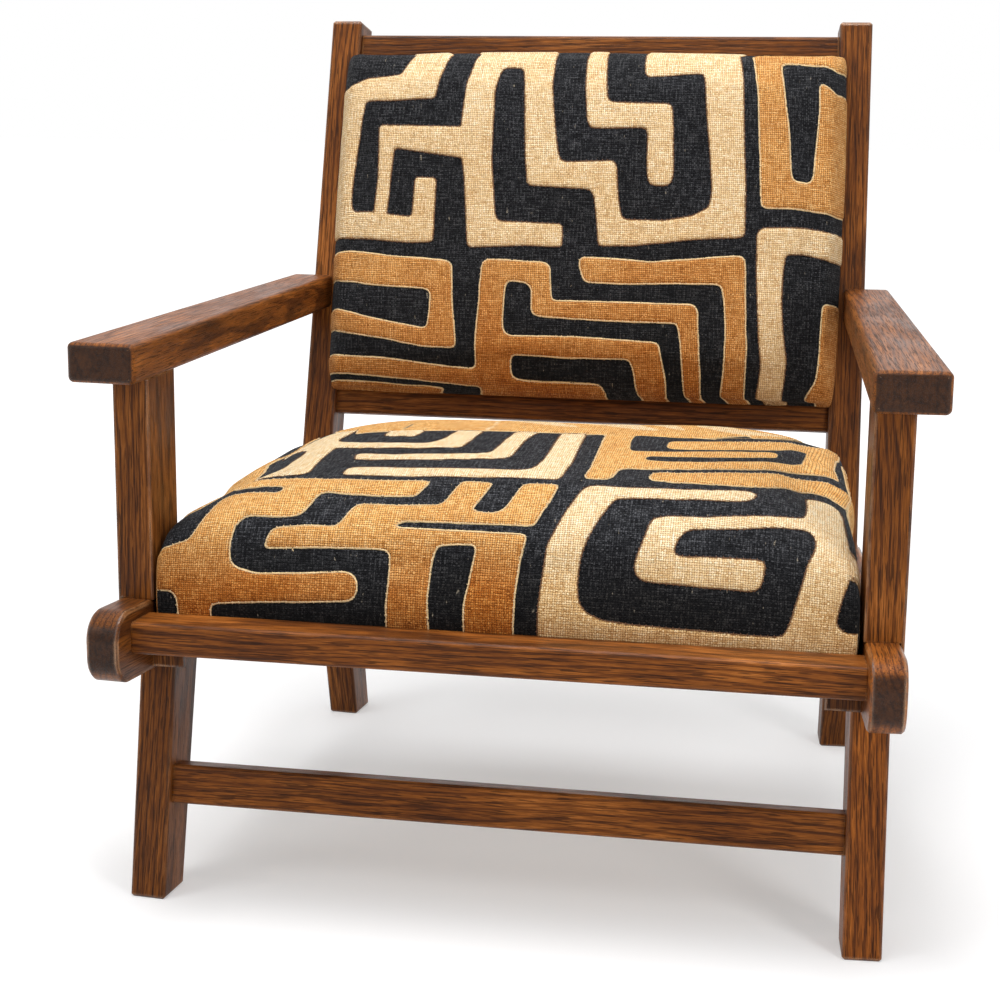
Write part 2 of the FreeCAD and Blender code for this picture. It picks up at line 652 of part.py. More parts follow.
def make_back_rail(name, back_post, up, height):
    front, back = "back_rail_recess", "back_rail_recess + back_rail_thickness"
    top = "%s + %s" % (up, height)
    body = section_bar(name, [on_slope(front, up), on_slope(back, up),
                              on_slope(back, top), on_slope(front, top)], "edge_radius")
    trim_ends(body, "back_post_inner")
    setback = "back_rail_recess + (back_rail_thickness - tenon_thickness) / 2"
    z = "(%s + tenon_shoulder) * cos(back_lean)" % up
    along = ("back_post_foot + (%s - back_post_foot_up) * lean_slope + (%s) / cos(back_lean)"
             % (z, setback))
    cross_joint(body, back_post, "back_post_inner", along, z, "tenon_thickness",
                "%s - 2 * tenon_shoulder" % height, "-back_lean")
    return body


# Seat and back boards

def inner_half(along, inset):
    """Half the width between the side frames' faces at an inset, at a place along the chair."""
    return "half_front - (%s) / cos(side_toe) - toe_slope * ((%s) + half_depth)" % (inset, along)


def make_seat_board():
    body = new_body("seat_board_body")
    gap = "rail_thickness + board_gap"
    wide, narrow = inner_half("board_front", gap), inner_half("board_back", gap)
    corners = [("-(%s)" % wide, "board_front"), (wide, "board_front"),
               (narrow, "board_back"), ("-(%s)" % narrow, "board_back")]
    pad(body, outline(body, "XY_Plane", corners, "board_up"), "board_thickness")
    return body


def make_side_cleat():
    body = new_body("side_cleat_right_body")
    side_slab(body, [("cleat_front", "board_up - cleat_height"),
                     ("cleat_back", "board_up - cleat_height"),
                     ("cleat_back", "board_up"), ("cleat_front", "board_up")],
              "rail_thickness", "rail_thickness + cleat_width")
    in_side_frame(body)
    return body


def make_front_cleat():
    body = new_body("front_cleat_body")
    front, back = "front_rail_back", "front_rail_back + cleat_width"
    corners = [(front, "board_up - cleat_height"), (back, "board_up - cleat_height"),
               (back, "board_up"), (front, "board_up")]
    half = inner_half("front_rail_back", "rail_thickness") + " - block_leg - cleat_end_gap"
    pad(body, outline(body, "YZ_Plane", corners), "2 * (%s)" % half, middle=True)
    return body


def make_back_panel():
    body = new_body("back_panel_body")
    front, back = "back_rail_recess - panel_thickness", "back_rail_recess"
    foot, top = "pad_foot + panel_inset", "pad_top - panel_inset"
    half = "back_gap_half - toe_slope * sin(slope_angle) * pad_top - panel_gap"
    corners = [on_slope(front, foot), on_slope(back, foot), on_slope(back, top), on_slope(front, top)]
    pad(body, outline(body, "YZ_Plane", corners), "2 * (%s)" % half, middle=True)
    return body


# Upholstery: each section is a share of the way along, then the height of the seam and of the
# crown as shares of their full sizes; for the back pad, also its width as a share.
CUSHION_SECTION_SHARES = [
    (0.0, 0.50, 0.25),
    (0.025, 0.68, 0.50),
    (0.09, 0.80, 0.80),
    (0.22, 0.90, 0.97),
    (0.38, 0.96, 1.03),
    (0.54, 1.0, 1.05),
    (0.70, 1.03, 1.0),
    (0.85, 1.04, 0.91),
    (0.96, 0.97, 0.72),
    (1.0, 0.74, 0.50),
]
PAD_SECTION_SHARES = [
    (0.0, 0.40, 0.25, 0.965),
    (0.03, 0.78, 0.60, 0.99),
    (0.12, 0.96, 0.88, 1.0),
    (0.28, 1.0, 0.97, 1.0),
    (0.5, 1.0, 1.0, 1.0),
    (0.73, 1.0, 0.97, 0.995),
    (0.88, 0.96, 0.88, 0.99),
    (0.97, 0.78, 0.60, 0.975),
    (1.0, 0.40, 0.25, 0.95),
]


def loft(body, sketches):
    feature = body.newObject("PartDesign::AdditiveLoft", body.Name + "_loft")
    feature.Profile = sketches[0]
    feature.Sections = sketches[1:]
    feature.Ruled = True
    body.Tip = feature
    doc.recompute()


def make_seat_cushion():
    """A crowned cushion between the side rails, its front and back rounded down to the board."""
    body = new_body("seat_cushion")
    sketches = []
    for along_share, seam_share, crown_share in CUSHION_SECTION_SHARES:
        along = "cushion_front + %g * cushion_length" % along_share
        wall = inner_half(along, "rail_thickness + seat_gap")
        base_half = "%s - cushion_tuck" % wall
        seam_half = "%s - cushion_seam_inset" % wall
        base, seam = "board_top", "board_top + %g * cushion_edge" % seam_share
        sketches.append(swollen_outline(
            body, "XZ_Plane",
            [("-(%s)" % base_half, base), (base_half, base), (seam_half, seam),
             ("-(%s)" % seam_half, seam)],
            [None, "%g * cushion_belly" % seam_share, "%g * cushion_crown" % crown_share,
             "%g * cushion_belly" % seam_share], "-(%s)" % along))
    loft(body, sketches)
    return body


def make_back_pad():
    """A crowned pad on the sloping back, a little wider than the gap between the posts."""
    body = new_body("back_pad")
    sketches = []
    for up_share, seam_share, crown_share, width_share in PAD_SECTION_SHARES:
        half = "%g * pad_half" % width_share
        back_half = "%s - pad_belly" % half
        seam_half = "%s - pad_seam_inset" % half
        back, seam = "-pad_back", "-pad_back - %g * pad_edge" % seam_share
        belly = "%g * pad_belly" % seam_share
        sketches.append(swollen_outline(
            body, "XY_Plane",
            [(back_half, back), ("-(%s)" % back_half, back), ("-(%s)" % seam_half, seam),
             (seam_half, seam)],
            [None, belly, "%g * pad_crown" % crown_share, belly],
            "pad_foot + %g * pad_height" % up_share))
    loft(body, sketches)
    body.setExpression("Placement", bound(shifted("0", "slope_foot", "0", "-slope_angle")))
    return body


# Blocks and fasteners: groups of separate solids in one node each

def side_point(sign, inset, along, up):
    """World point of a place in a side frame, from three formulas."""
    toe = math.radians(size("side_toe"))
    across = -size(inset)
    back = size(along)
    return Vector(sign * (size("half_front") + across * math.cos(toe) - back * math.sin(toe)),
                  -size("half_depth") + across * math.sin(toe) + back * math.cos(toe), size(up))


def inward(sign):
    toe = math.radians(size("side_toe"))
    return Vector(-sign * math.cos(toe), -math.sin(toe), 0)


def corner_blocks():
    """Triangular glue blocks in the four corners under the seat board."""
    leg = size("block_leg")
    low = size("board_up - block_height")
    blocks = []
    for sign in (1, -1):
        for line, way in (("front_rail_back", 1), ("rear_rail_front", -1)):
            y = size(line)
            x = sign * size(inner_half(line, "rail_thickness"))
            slope = sign * size("toe_slope")
            corners = [Vector(x, y, low), Vector(x - sign * leg, y, low),
                       Vector(x - slope * leg * way, y + leg * way, low)]
            face = Part.Face(Part.makePolygon(corners + corners[:1]))
            blocks.append(face.extrude(Vector(0, 0, size("block_height - joint_gap"))))
    return blocks


def screw(place, way, length, radius, head_radius, gap=0):
    """A hexagon-headed wood screw, its head standing on place and its point along way.

    With a gap it is the hole that clears the shank.
    """
    shank = Part.makeCylinder(radius + gap, length + gap, place, way)
    if gap:
        return shank
    corners = [place + across_way(way, 60 * turn) * head_radius for turn in range(7)]
    head = Part.Face(Part.makePolygon(corners)).extrude(way * -size("screw_head_height"))
    return head.fuse(shank).removeSplitter()


def across_way(way, angle):
    """Unit vector square to way, turned about it by an angle in degrees."""
    aside = way.cross(Vector(0, 1, 0) if abs(way.y) < abs(way.z) + abs(way.x) else Vector(1, 0, 0))
    turned = FreeCAD.Rotation(way, angle).multVec(aside)
    return turned.normalize()


def wood_screw(place, way, length, gap):
    return screw(place, way, length, size("screw_radius"), size("screw_head_radius"), gap)


def back_panel_screws(gap=0):
    """Through the two back rails, from behind, into the panel of the back pad."""
    spread = size("pad_half * 2 / 3")
    behind = "back_rail_recess + back_rail_thickness"
    length = size("back_rail_thickness + panel_thickness * 2 / 3")
    lean = math.radians(size("slope_angle"))
    way = Vector(0, -math.cos(lean), math.sin(lean))
    screws = []
    for up in ("lower_rail_up + lower_rail_height * 3 / 4", "top_rail_up + top_rail_height / 4"):
        y, z = on_slope(behind, up)
        for share in (-1, 1):
            screws.append(wood_screw(Vector(share * spread, size(y), size(z)), way, length, gap))
    return screws


def cleat_screws(gap=0):
    """Through the side cleats into the side rails."""
    length = size("cleat_width + screw_bite")
    screws = []
    for sign in (1, -1):
        for share in (0.15, 0.85):
            place = side_point(sign, "rail_thickness + cleat_width",
                               "cleat_front + %g * (cleat_back - cleat_front)" % share,
                               "board_up - cleat_height / 2")
            screws.append(wood_screw(place, inward(sign) * -1, length, gap))
    return screws


def leg_lip_screws(gap=0):
    """Through the cheeks of the front legs into the rails, and through the rails into the rear cheeks."""
    screws = []
    for sign in (1, -1):
        out = inward(sign) * -1
        front = "front_leg_foot + (rail_top - rail_fall) * tan(front_leg_rake) + front_leg_depth / 2"
        place = side_point(sign, "front_leg_inner", front,
                           rail_foot_at(front) + " + front_leg_lip_rise / 2")
        screws.append(wood_screw(place, out, size("front_leg_lip + screw_bite"), gap))
        rear = "rear_leg_foot - (rail_top - rail_fall) * tan(rear_leg_rake) + rear_leg_depth / 2"
        place = side_point(sign, "rail_thickness", rear,
                           rail_foot_at(rear) + " + rear_leg_lip_rise * 3 / 4")
        screws.append(wood_screw(place, out, size("rail_thickness + rear_leg_lip * 2 / 3"), gap))
    return screws


def arm_screw_line(sign):
    """Where the long screw starts on the rear face of the back post, and its way into the arm."""
    up = ("arm_top - arm_fall / 2 + (arm_back_low_along - arm_setback) * rise_slope"
          " - (back_post_depth + arm_screw_bite / 2) * sin(back_lean)")
    along = ("back_post_foot + (%s - back_post_foot_up) * lean_slope + back_post_depth / cos(back_lean)"
             % up)
    place = side_point(sign, "back_post_inset + post_thickness / 3", along, up)
    lean = math.radians(size("back_lean"))
    toe = math.radians(size("side_toe"))
    way = Vector(sign * math.cos(lean) * math.sin(toe), -math.cos(lean) * math.cos(toe),
                 math.sin(lean))
    return place, way


def arm_screws(gap=0):
    screws = []
    length = size("back_post_depth - plug_depth + arm_screw_bite")
    for sign in (1, -1):
        place, way = arm_screw_line(sign)
        screws.append(screw(place + way * size("plug_depth"), way, length, size("arm_screw_radius"),
                            size("arm_screw_head_radius"), gap))
    return screws


def arm_screw_plugs(gap=0):
    """Wooden plugs over the heads of the long screws, flush with the back posts."""
    plugs = []
    for sign in (1, -1):
        place, way = arm_screw_line(sign)
        start, length = place, size("plug_depth - screw_head_height - screw_gap")
        if gap:
            start, length = place - way * size("overrun"), size("plug_depth + overrun")
        plugs.append(Part.makeCylinder(size("arm_screw_head_radius") + gap, length, start, way))
    return plugs


def group(label, solids):
    """One object that holds several separate solids."""
    feature = doc.addObject("Part::Feature", label)
    feature.Label = label
    feature.Shape = Part.makeCompound(solids)
    return feature


# Assembly

side_rail = make_side_rail()
front_leg = make_front_leg(side_rail)
rear_leg = make_rear_leg(side_rail)
arm_post = make_arm_post(side_rail)
back_post = make_back_post(side_rail)
arm = make_arm(arm_post)
front_rail = make_front_rail(side_rail)
rear_rail = make_rear_rail(side_rail)
stretcher = make_stretcher(front_leg)
top_back_rail = make_back_rail("top_back_rail_body", back_post, "top_rail_up", "top_rail_height")
lower_back_rail = make_back_rail("lower_back_rail_body", back_post, "lower_rail_up",
                                 "lower_rail_height")
seat_board = make_seat_board()
side_cleat = make_side_cleat()
front_cleat = make_front_cleat()
back_panel = make_back_panel()

screw_gap = size("screw_gap")
FASTENERS = {
    "back_panel_screws": back_panel_screws,
    "cleat_screws": cleat_screws,
    "leg_lip_screws": leg_lip_screws,
    "arm_screws": arm_screws,
    "arm_screw_plugs": arm_screw_plugs,
}
nodes = {}
holes = {}
for name, maker in FASTENERS.items():
    nodes[name] = group(name, maker())
    holes[name] = group(name + "_holes", maker(screw_gap))
nodes["corner_blocks"] = group("corner_blocks", corner_blocks())


def bore(body, name, groups):
    """The body with the holes of its fasteners cut from it, or the body itself if it has none."""
    piece = body
    for fastener in groups:
        before = piece.Shape.Volume
        cut = doc.addObject("Part::Cut", name + "_bored")
        cut.Base = piece
        cut.Tool = holes[fastener]
        doc.recompute()
        assert cut.Shape.Volume < before, name + " has no holes for " + fastener
        piece = cut
    piece.Label = name
    return piece


PIECES = [
    (side_rail, "side_rail", True, ["cleat_screws", "leg_lip_screws"]),
    (front_leg, "front_leg", True, ["leg_lip_screws"]),
    (rear_leg, "rear_leg", True, ["leg_lip_screws"]),
    (arm_post, "arm_post", True, []),
    (back_post, "back_post", True, ["arm_screws", "arm_screw_plugs"]),
    (arm, "arm", True, ["arm_screws"]),
    (side_cleat, "side_cleat", True, ["cleat_screws"]),
    (front_rail, "front_rail", False, []),
    (rear_rail, "rear_rail", False, []),
    (stretcher, "front_stretcher", False, []),
    (top_back_rail, "top_back_rail", False, ["back_panel_screws"]),
    (lower_back_rail, "lower_back_rail", False, ["back_panel_screws"]),
    (front_cleat, "front_cleat", False, []),
    (seat_board, "seat_board", False, []),
    (back_panel, "back_panel", False, ["back_panel_screws"]),
]
for body, name, paired, groups in PIECES:
    if not paired:
        nodes[name] = bore(body, name, groups)
        continue
    nodes[name + "_right"] = bore(body, name + "_right", groups)
    mirrored = doc.addObject("Part::Mirroring", name + "_left")
    mirrored.Source = nodes[name + "_right"]
    mirrored.Normal = Vector(1, 0, 0)
    mirrored.Label = name + "_left"
    nodes[name + "_left"] = mirrored
nodes["seat_cushion"] = make_seat_cushion()
nodes["back_pad"] = make_back_pad()

doc.recompute()
for item in doc.Objects:
    assert not {"Invalid", "Error"} & set(item.State), item.Name + " failed"
os.makedirs("parts", exist_ok=True)
for name, piece in sorted(nodes.items()):
    shape = piece.Shape
    assert not shape.isNull() and shape.isValid(), name + " is not a valid shape"
    shape.exportStep("parts/%s.step" % name)
    box = shape.BoundBox
    print("%-20s %d solids  %6.1f x %6.1f x %6.1f mm" % (
        name, len(shape.Solids), box.XLength, box.YLength, box.ZLength))
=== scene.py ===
# %% [markdown]
# A low wooden lounge chair with a padded seat and back. The frame is stained open-grained
# hardwood: two side frames, each a nosed rail with raked legs, joined by cross rails. The cushions
# wear raffia cloth in which cream and ochre patches are sewn onto a charcoal ground in a maze
# pattern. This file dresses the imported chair: it gives every wooden piece its grain, and it makes
# the two cushions anew as sewn, stuffed things. Lengths are in metres unless a line says
# otherwise.

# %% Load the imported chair
import math
import bpy
import numpy as np
from mathutils import Matrix, Vector
from mathutils.bvhtree import BVHTree
from mathutils.interpolate import poly_3d_calc


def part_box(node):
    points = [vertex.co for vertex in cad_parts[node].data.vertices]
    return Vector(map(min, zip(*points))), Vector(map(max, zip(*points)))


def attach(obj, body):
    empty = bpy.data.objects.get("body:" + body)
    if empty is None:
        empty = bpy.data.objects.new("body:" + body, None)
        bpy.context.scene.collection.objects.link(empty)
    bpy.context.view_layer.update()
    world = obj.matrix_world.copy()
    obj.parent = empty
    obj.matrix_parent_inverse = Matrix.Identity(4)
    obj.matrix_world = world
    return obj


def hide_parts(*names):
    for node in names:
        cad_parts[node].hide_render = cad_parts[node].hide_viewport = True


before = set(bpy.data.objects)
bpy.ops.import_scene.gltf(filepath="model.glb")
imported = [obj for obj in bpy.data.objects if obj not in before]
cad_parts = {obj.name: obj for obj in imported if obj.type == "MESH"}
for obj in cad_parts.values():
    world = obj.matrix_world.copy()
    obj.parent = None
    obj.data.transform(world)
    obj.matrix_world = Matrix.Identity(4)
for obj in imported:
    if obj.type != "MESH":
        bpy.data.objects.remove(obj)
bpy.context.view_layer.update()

scene = bpy.context.scene
scene.view_settings.view_transform = "Standard"


def placed(name, data):
    """A new object in the scene."""
    made = bpy.data.objects.new(name, data)
    scene.collection.objects.link(made)
    return made


def numbers(elements, name, width=1, kind=float):
    """One property of all points, edges or corners of a mesh, so many numbers to a row."""
    flat = np.empty(len(elements) * width, kind)
    elements.foreach_get(name, flat)
    return flat.reshape(-1, width) if width > 1 else flat


# %% [markdown]
# The camera stands in front of the chair, a little to its right, and looks down at it. Its place
# was worked out from the corners of the rails, arms and posts that the photograph shows. The three
# turns are heading, tilt and roll, in that order; the last quarter turn makes Blender's camera,
# which looks down its own axis, look forward instead.

# %% Camera
CAMERA_PLACE = (0.2793, -1.7698, 0.6866)
TURNS = ((10.44, "Z"), (-11.43, "X"), (-0.65, "Y"), (90, "X"))
LENS = 68.148

camera = placed("camera", bpy.data.cameras.new("camera"))
scene.camera = camera
pose = Matrix.Translation(CAMERA_PLACE)
for degrees, axis in TURNS:
    pose = pose @ Matrix.Rotation(math.radians(degrees), 4, axis)
camera.matrix_world = pose
camera.data.lens = LENS
camera.data.sensor_width = 36
camera.data.clip_end = 60
ahead = camera.matrix_world.to_3x3() @ Vector((0, 0, -1))
print("camera looks along", [round(c, 3) for c in ahead])

# %% [markdown]
# Materials are trees of small nodes. The helpers below keep the trees readable: one turns a colour
# as the eye sees it on a screen into the linear light that a shader works in, one makes a node and
# plugs its inputs, and a class gives short names to the nodes that the looks of the chair need.

# %% Helpers for node trees
def tone(red, green, blue):
    """A colour as a screen shows it, 0 to 255, as linear light."""
    share = [c / 255 for c in (red, green, blue)]
    return [c / 12.92 if c < 0.04045 else ((c + 0.055) / 1.055) ** 2.4 for c in share] + [1.0]


def plug(socket, value):
    """Gives a socket its value, or links it to the output that is given instead."""
    if isinstance(value, bpy.types.NodeSocket):
        socket.id_data.links.new(value, socket)
    else:
        socket.default_value = value


def new_node(tree, kind, inputs=None, **settings):
    made = tree.nodes.new(kind)
    for name, value in settings.items():
        setattr(made, name, value)
    for socket, value in (inputs or {}).items():
        plug(made.inputs[socket], value)
    return made


class Tree:
    """The node tree of a material or a world, with short names for the nodes used here."""

    def __init__(self, owner):
        owner.use_nodes = True
        self.owner = owner
        self.tree = owner.node_tree
        self.shader = self.tree.nodes.get("Principled BSDF")

    def node(self, kind, inputs=None, **settings):
        return new_node(self.tree, "ShaderNode" + kind, inputs, **settings)

    def give(self, **looks):
        """Plugs the shader's own sockets: Base_Color is the socket Base Color."""
        for name, value in looks.items():
            plug(self.shader.inputs[name.replace("_", " ")], value)

    def math(self, operation, first, second=0.0, third=0.0):
        return self.node("Math", {0: first, 1: second, 2: third}, operation=operation).outputs[0]

    def times(self, first, second):
        return self.math("MULTIPLY", first, second)

    def rest(self, share):
        """What a share leaves of one."""
        return self.math("SUBTRACT", 1.0, share)

    def total(self, *parts):
        """The sum of values, each given with its weight."""
        (value, weight), *others = parts
        made = self.times(value, weight)
        for value, weight in others:
            made = self.math("MULTIPLY_ADD", value, weight, made)
        return made

    def vector(self, operation, first, second):
        return self.node("VectorMath", {0: first, 1: second}, operation=operation).outputs

    def facing(self, first, second):
        """1 where two directions lie on one line, 0 where they are square to each other."""
        return self.math("ABSOLUTE", self.vector("DOT_PRODUCT", first, second)[1])

    def ramp(self, value, low, high, to_low=0.0, to_high=1.0):
        return self.node("MapRange", {0: value, 1: low, 2: high, 3: to_low, 4: to_high},
                         interpolation_type="SMOOTHSTEP").outputs[0]

    def mix(self, share, first, second):
        return self.node("Mix", {0: share, 6: first, 7: second}, data_type="RGBA").outputs[2]

    def noise(self, place, scale, detail=2.0, rough=0.5, distortion=0.0):
        return self.node("TexNoise", {"Vector": place, "Scale": scale, "Detail": detail,
                                      "Roughness": rough, "Distortion": distortion}).outputs[0]

    def stretch(self, place, scale, turn=(0, 0, 0), shift=(0, 0, 0)):
        return self.node("Mapping", {"Vector": place, "Location": shift, "Rotation": turn,
                                     "Scale": scale}).outputs[0]

    def colours(self, value, stops):
        """A colour ramp from given stops: (place, colour)."""
        made = self.node("ValToRGB", {0: value})
        while len(made.color_ramp.elements) < len(stops):
            made.color_ramp.elements.new(0.5)
        for element, (place, colour) in zip(made.color_ramp.elements, stops):
            element.position = place
            element.color = tone(*colour)
        return made.outputs[0]

    def bump(self, height, strength, distance, **more):
        inputs = {"Strength": strength, "Distance": distance, "Height": height, **more}
        self.give(Normal=self.node("Bump", inputs).outputs[0])

    def seen_direct(self):
        """1 for a ray from the camera, off a shiny thing or through a clear one, 0 for the rest."""
        ray = self.node("LightPath").outputs
        shown = self.math("MAXIMUM", ray["Is Camera Ray"], ray["Is Glossy Ray"])
        return self.math("MAXIMUM", shown, ray["Is Transmission Ray"])


def material(name):
    return Tree(bpy.data.materials.new(name))


print("a mid brown in linear light:", [round(c, 3) for c in tone(110, 65, 35)])

# %% [markdown]
# The photograph was taken in a studio: a white floor that runs into a white background, and large
# soft lamps. A pale floor under a plain level of light would look grey at its far end, so its own
# shader adds a little glow, more of it far from the chair, but only for rays that come from the
# camera or from a reflection. The shadow of the chair still shows: it takes away the lit part of
# the colour.

# %% Floor and backdrop
GLOW_NEAR, GLOW_FAR = 0.34, 0.86

floor_mesh = bpy.data.meshes.new("floor")
floor_mesh.from_pydata([(-30, -12, 0), (30, -12, 0), (30, 45, 0), (-30, 45, 0)], [], [(0, 1, 2, 3)])
floor = placed("floor", floor_mesh)

paper = material("studio floor")
paper.give(Base_Color=(0.72, 0.72, 0.725, 1), Roughness=0.9, Specular_IOR_Level=0.0)
away = paper.vector("LENGTH", paper.node("TexCoord").outputs["Object"], (0, 0, 0))[1]
level = paper.ramp(away, 0.7, 2.6, GLOW_NEAR, GLOW_FAR)
glow = paper.node("Emission", {"Color": (1, 1, 1, 1),
                               "Strength": paper.times(paper.seen_direct(), level)})
both = paper.node("AddShader", {0: paper.shader.outputs[0], 1: glow.outputs[0]})
plug(paper.tree.nodes["Material Output"].inputs[0], both.outputs[0])
floor.data.materials.append(paper.owner)

# %% World and lamps
WORLD_LIGHT, WORLD_SEEN = 0.36, 1.0

scene.world = bpy.data.worlds.new("studio")
air = Tree(scene.world)
level = air.node("MapRange", {0: air.seen_direct(), 3: WORLD_LIGHT, 4: WORLD_SEEN})
back = air.tree.nodes["Background"]
plug(back.inputs["Color"], (1, 1, 1, 1))
plug(back.inputs["Strength"], level.outputs[0])


def lamp(name, place, target, size, power):
    light = bpy.data.lights.new(name, "AREA")
    light.shape = "RECTANGLE"
    light.size, light.size_y = size
    light.energy = power
    aim = (Vector(target) - Vector(place)).to_track_quat("-Z", "Y")
    placed(name, light).matrix_world = Matrix.Translation(place) @ aim.to_matrix().to_4x4()


lamp("overhead softbox", (-0.15, -0.35, 2.6), (0, 0, 0.3), (1.6, 1.6), 66)
lamp("left softbox", (-1.9, -1.6, 1.5), (0, -0.1, 0.4), (1.0, 1.4), 10)
lamp("right strip", (1.7, -1.7, 1.1), (0.2, 0, 0.4), (0.6, 1.4), 20)

# %% [markdown]
# The frame is made of a ring-porous hardwood: growth rings run along each piece as darker and
# lighter bands, and open pores show as fine dark lines that took up more stain. A board was cut
# along the tree, so all of this follows the piece's own length. The tree below makes it from
# noises stretched along that length, and the ends of a board, where the pores are seen end on,
# come out darker. Edges are worn smooth: a bevel shader rounds them, and a second one tells where
# an edge is, so that the polish is stronger there and the colour lighter there: partly stain
# rubbed thin, partly a painted highlight along the edge.

# %% Wood
BROWNS = [(0.42, (62, 32, 12)), (0.52, (92, 50, 18)), (0.60, (116, 66, 24)), (0.72, (160, 98, 44))]
# Edge brown: partly worn stain, partly a painted highlight.
PORE_BROWN, WORN_AND_HIGHLIGHT_BROWN = tone(30, 14, 5), tone(202, 150, 102)
END_BROWNS = tone(24, 11, 5), tone(52, 29, 14)
ROUNDING, EDGE_WIDTH = 0.0036, 0.0034
FACE_TINT, EDGE_TINT = (0.22, 0.22, 0.22, 1), (1, 1, 1, 1)


def grain_space(tree, along, shift):
    """The piece's own space, turned so that z runs along the grain, then moved to another spot."""
    turn = Vector(along).rotation_difference(Vector((0, 0, 1))).to_euler()
    return tree.stretch(tree.node("TexCoord").outputs["Object"], (1, 1, 1), tuple(turn), shift)


def stained_wood(name, along, shift=(0, 0, 0), dark=1.0):
    """Brown stained hardwood whose grain runs along the given direction; dark scales its colour,
    and on some pieces that is painted light.
    """
    wood = material(name)
    place = grain_space(wood, along, shift)

    def long_noise(length, *how):
        """Noise drawn out along the grain: the smaller the number, the longer."""
        return wood.noise(wood.stretch(place, (1, 1, length)), *how)

    sway = wood.times(long_noise(0.22, 11, 2.0), 0.045)
    swayed = wood.vector("ADD", place, sway)[0]
    rings = wood.node("TexWave", {"Vector": wood.stretch(swayed, (1, 0.7, 0.06)), "Scale": 52.0,
                                  "Distortion": 6.0, "Detail": 3.0, "Detail Scale": 0.8,
                                  "Detail Roughness": 0.65},
                      bands_direction="X", wave_profile="SIN")
    late = wood.ramp(rings.outputs["Fac"], 0.02, 0.40)
    fibre = long_noise(0.05, 980, 3.0, 0.70)
    flame = long_noise(0.12, 85, 3.0, 0.55, 0.8)
    patch = long_noise(0.4, 12, 3.0, 0.6)
    pores = wood.ramp(long_noise(0.035, 1050, 1.0), 0.40, 0.45)

    figure = wood.total((late, 0.10), (fibre, 0.34), (flame, 0.26), (patch, 0.36))
    body = wood.colours(figure, [(at, [c * dark for c in brown]) for at, brown in BROWNS])
    body = wood.mix(wood.math("MULTIPLY_ADD", pores, -0.68, 0.68), body, PORE_BROWN)

    normal = wood.node("NewGeometry").outputs["Normal"]
    rounded = wood.node("Bevel", {"Radius": ROUNDING}, samples=4).outputs[0]
    wide = wood.node("Bevel", {"Radius": EDGE_WIDTH}, samples=4).outputs[0]
    cut_end = wood.ramp(wood.facing(normal, tuple(Vector(along).normalized())), 0.72, 0.93)
    mottle = wood.ramp(wood.noise(place, 140, 3.0, 0.6, 1.2), 0.36, 0.64)
    body = wood.mix(wood.times(cut_end, 0.90), body, wood.mix(mottle, *END_BROWNS))
    edge = wood.ramp(wood.vector("DOT_PRODUCT", wide, normal)[1], 0.985, 0.90)
    # Painted highlight with wear: edges come out lighter, partly stain rubbed thin, partly a
    # painted highlight.
    wear_and_highlight = wood.ramp(wood.noise(place, 38, 3.0, 0.6), 0.38, 0.60)
    body = wood.mix(wood.times(wood.times(edge, wear_and_highlight), 0.75), body, WORN_AND_HIGHLIGHT_BROWN)

    gloss = wood.ramp(long_noise(0.3, 45, 3.0), 0.3, 0.7, 0.56, 0.44)
    for smooth, amount in ((pores, -0.10), (cut_end, -0.20), (edge, -0.20)):
        gloss = wood.math("MULTIPLY_ADD", smooth, amount, gloss)
    polished = wood.math("MAXIMUM", edge, wood.times(cut_end, 0.16))
    wood.give(Base_Color=body, Roughness=gloss,
              Specular_IOR_Level=wood.math("MULTIPLY_ADD", edge, 0.45, 0.5),
              Specular_Tint=wood.mix(polished, FACE_TINT, EDGE_TINT))
    wood.bump(wood.total((fibre, 0.5), (pores, 0.6)), 0.35, 0.0006, Normal=rounded)
    return wood.owner


def length_of(node):
    """The direction in which a wooden piece is longest: the grain runs along it."""
    points = numbers(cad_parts[node].data.vertices, "co", 3)
    spread = np.linalg.svd(points - points.mean(0), full_matrices=False)[2][0]
    return tuple(float(c) for c in spread * (1 if spread[np.argmax(np.abs(spread))] > 0 else -1))


def dress(node, looks):
    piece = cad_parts[node]
    piece.data.materials.clear()
    piece.data.materials.append(looks)


# %% [markdown]
# Each piece came from its own board, so each gets its own wood: the same tree, turned to the
# piece's length and moved to another spot in the grain. The direction is measured from the piece
# itself. Some pieces have their colour made lighter or darker as painted light, for how the light
# falls on them: most of them lighter, the top back rail darker.

# %% Grain for every wooden piece
SIDES = ["side_rail", "front_leg", "rear_leg", "arm_post", "arm", "back_post"]
WOODEN = [part + side for part in SIDES for side in ("_left", "_right")]
WOODEN += ["front_rail", "front_stretcher", "rear_rail", "top_back_rail", "lower_back_rail",
           "side_cleat_left", "side_cleat_right", "front_cleat"]
# Painted light: colour factors for pieces that get more or less light, most lighter, the top back
# rail darker.
PAINTED_LIGHT_BY_PIECE = {"front_leg_right": 1.34, "front_rail": 1.16, "side_rail_right": 1.28,
         "arm_post_right": 1.10, "arm_left": 1.10, "arm_right": 1.06, "front_stretcher": 1.12,
         "back_post_left": 1.06, "top_back_rail": 0.92}
for number, node in enumerate(WOODEN):
    spot = (0.37 * number, 0.21 * (number % 5), 0.83 * number)
    name = "stained wood " + node.replace("_", " ")
    dress(node, stained_wood(name, length_of(node), spot, PAINTED_LIGHT_BY_PIECE.get(node, 1.0)))
dress("corner_blocks", stained_wood("stained wood corner blocks", (0, 0, 1), (3.1, 0.4, 0.2), 0.9))
dress("arm_screw_plugs", stained_wood("stained wood plugs", (0, 0, 1), (1.3, 2.4, 0.6), 0.85))
print("wooden pieces:", len(WOODEN) + 2)

# %% [markdown]
# The seat board and the back panel are birch plywood: a pale face veneer with faint long grain,
# and at the cut edges the plies show as thin stripes, turn about lighter and darker. The stripes
# follow the depth in the board, so the tree asks how far a point is from the middle of the sheet.

# %% Plywood and steel
LEAN = math.radians(13.1625)
TWO_PLIES = 0.0028


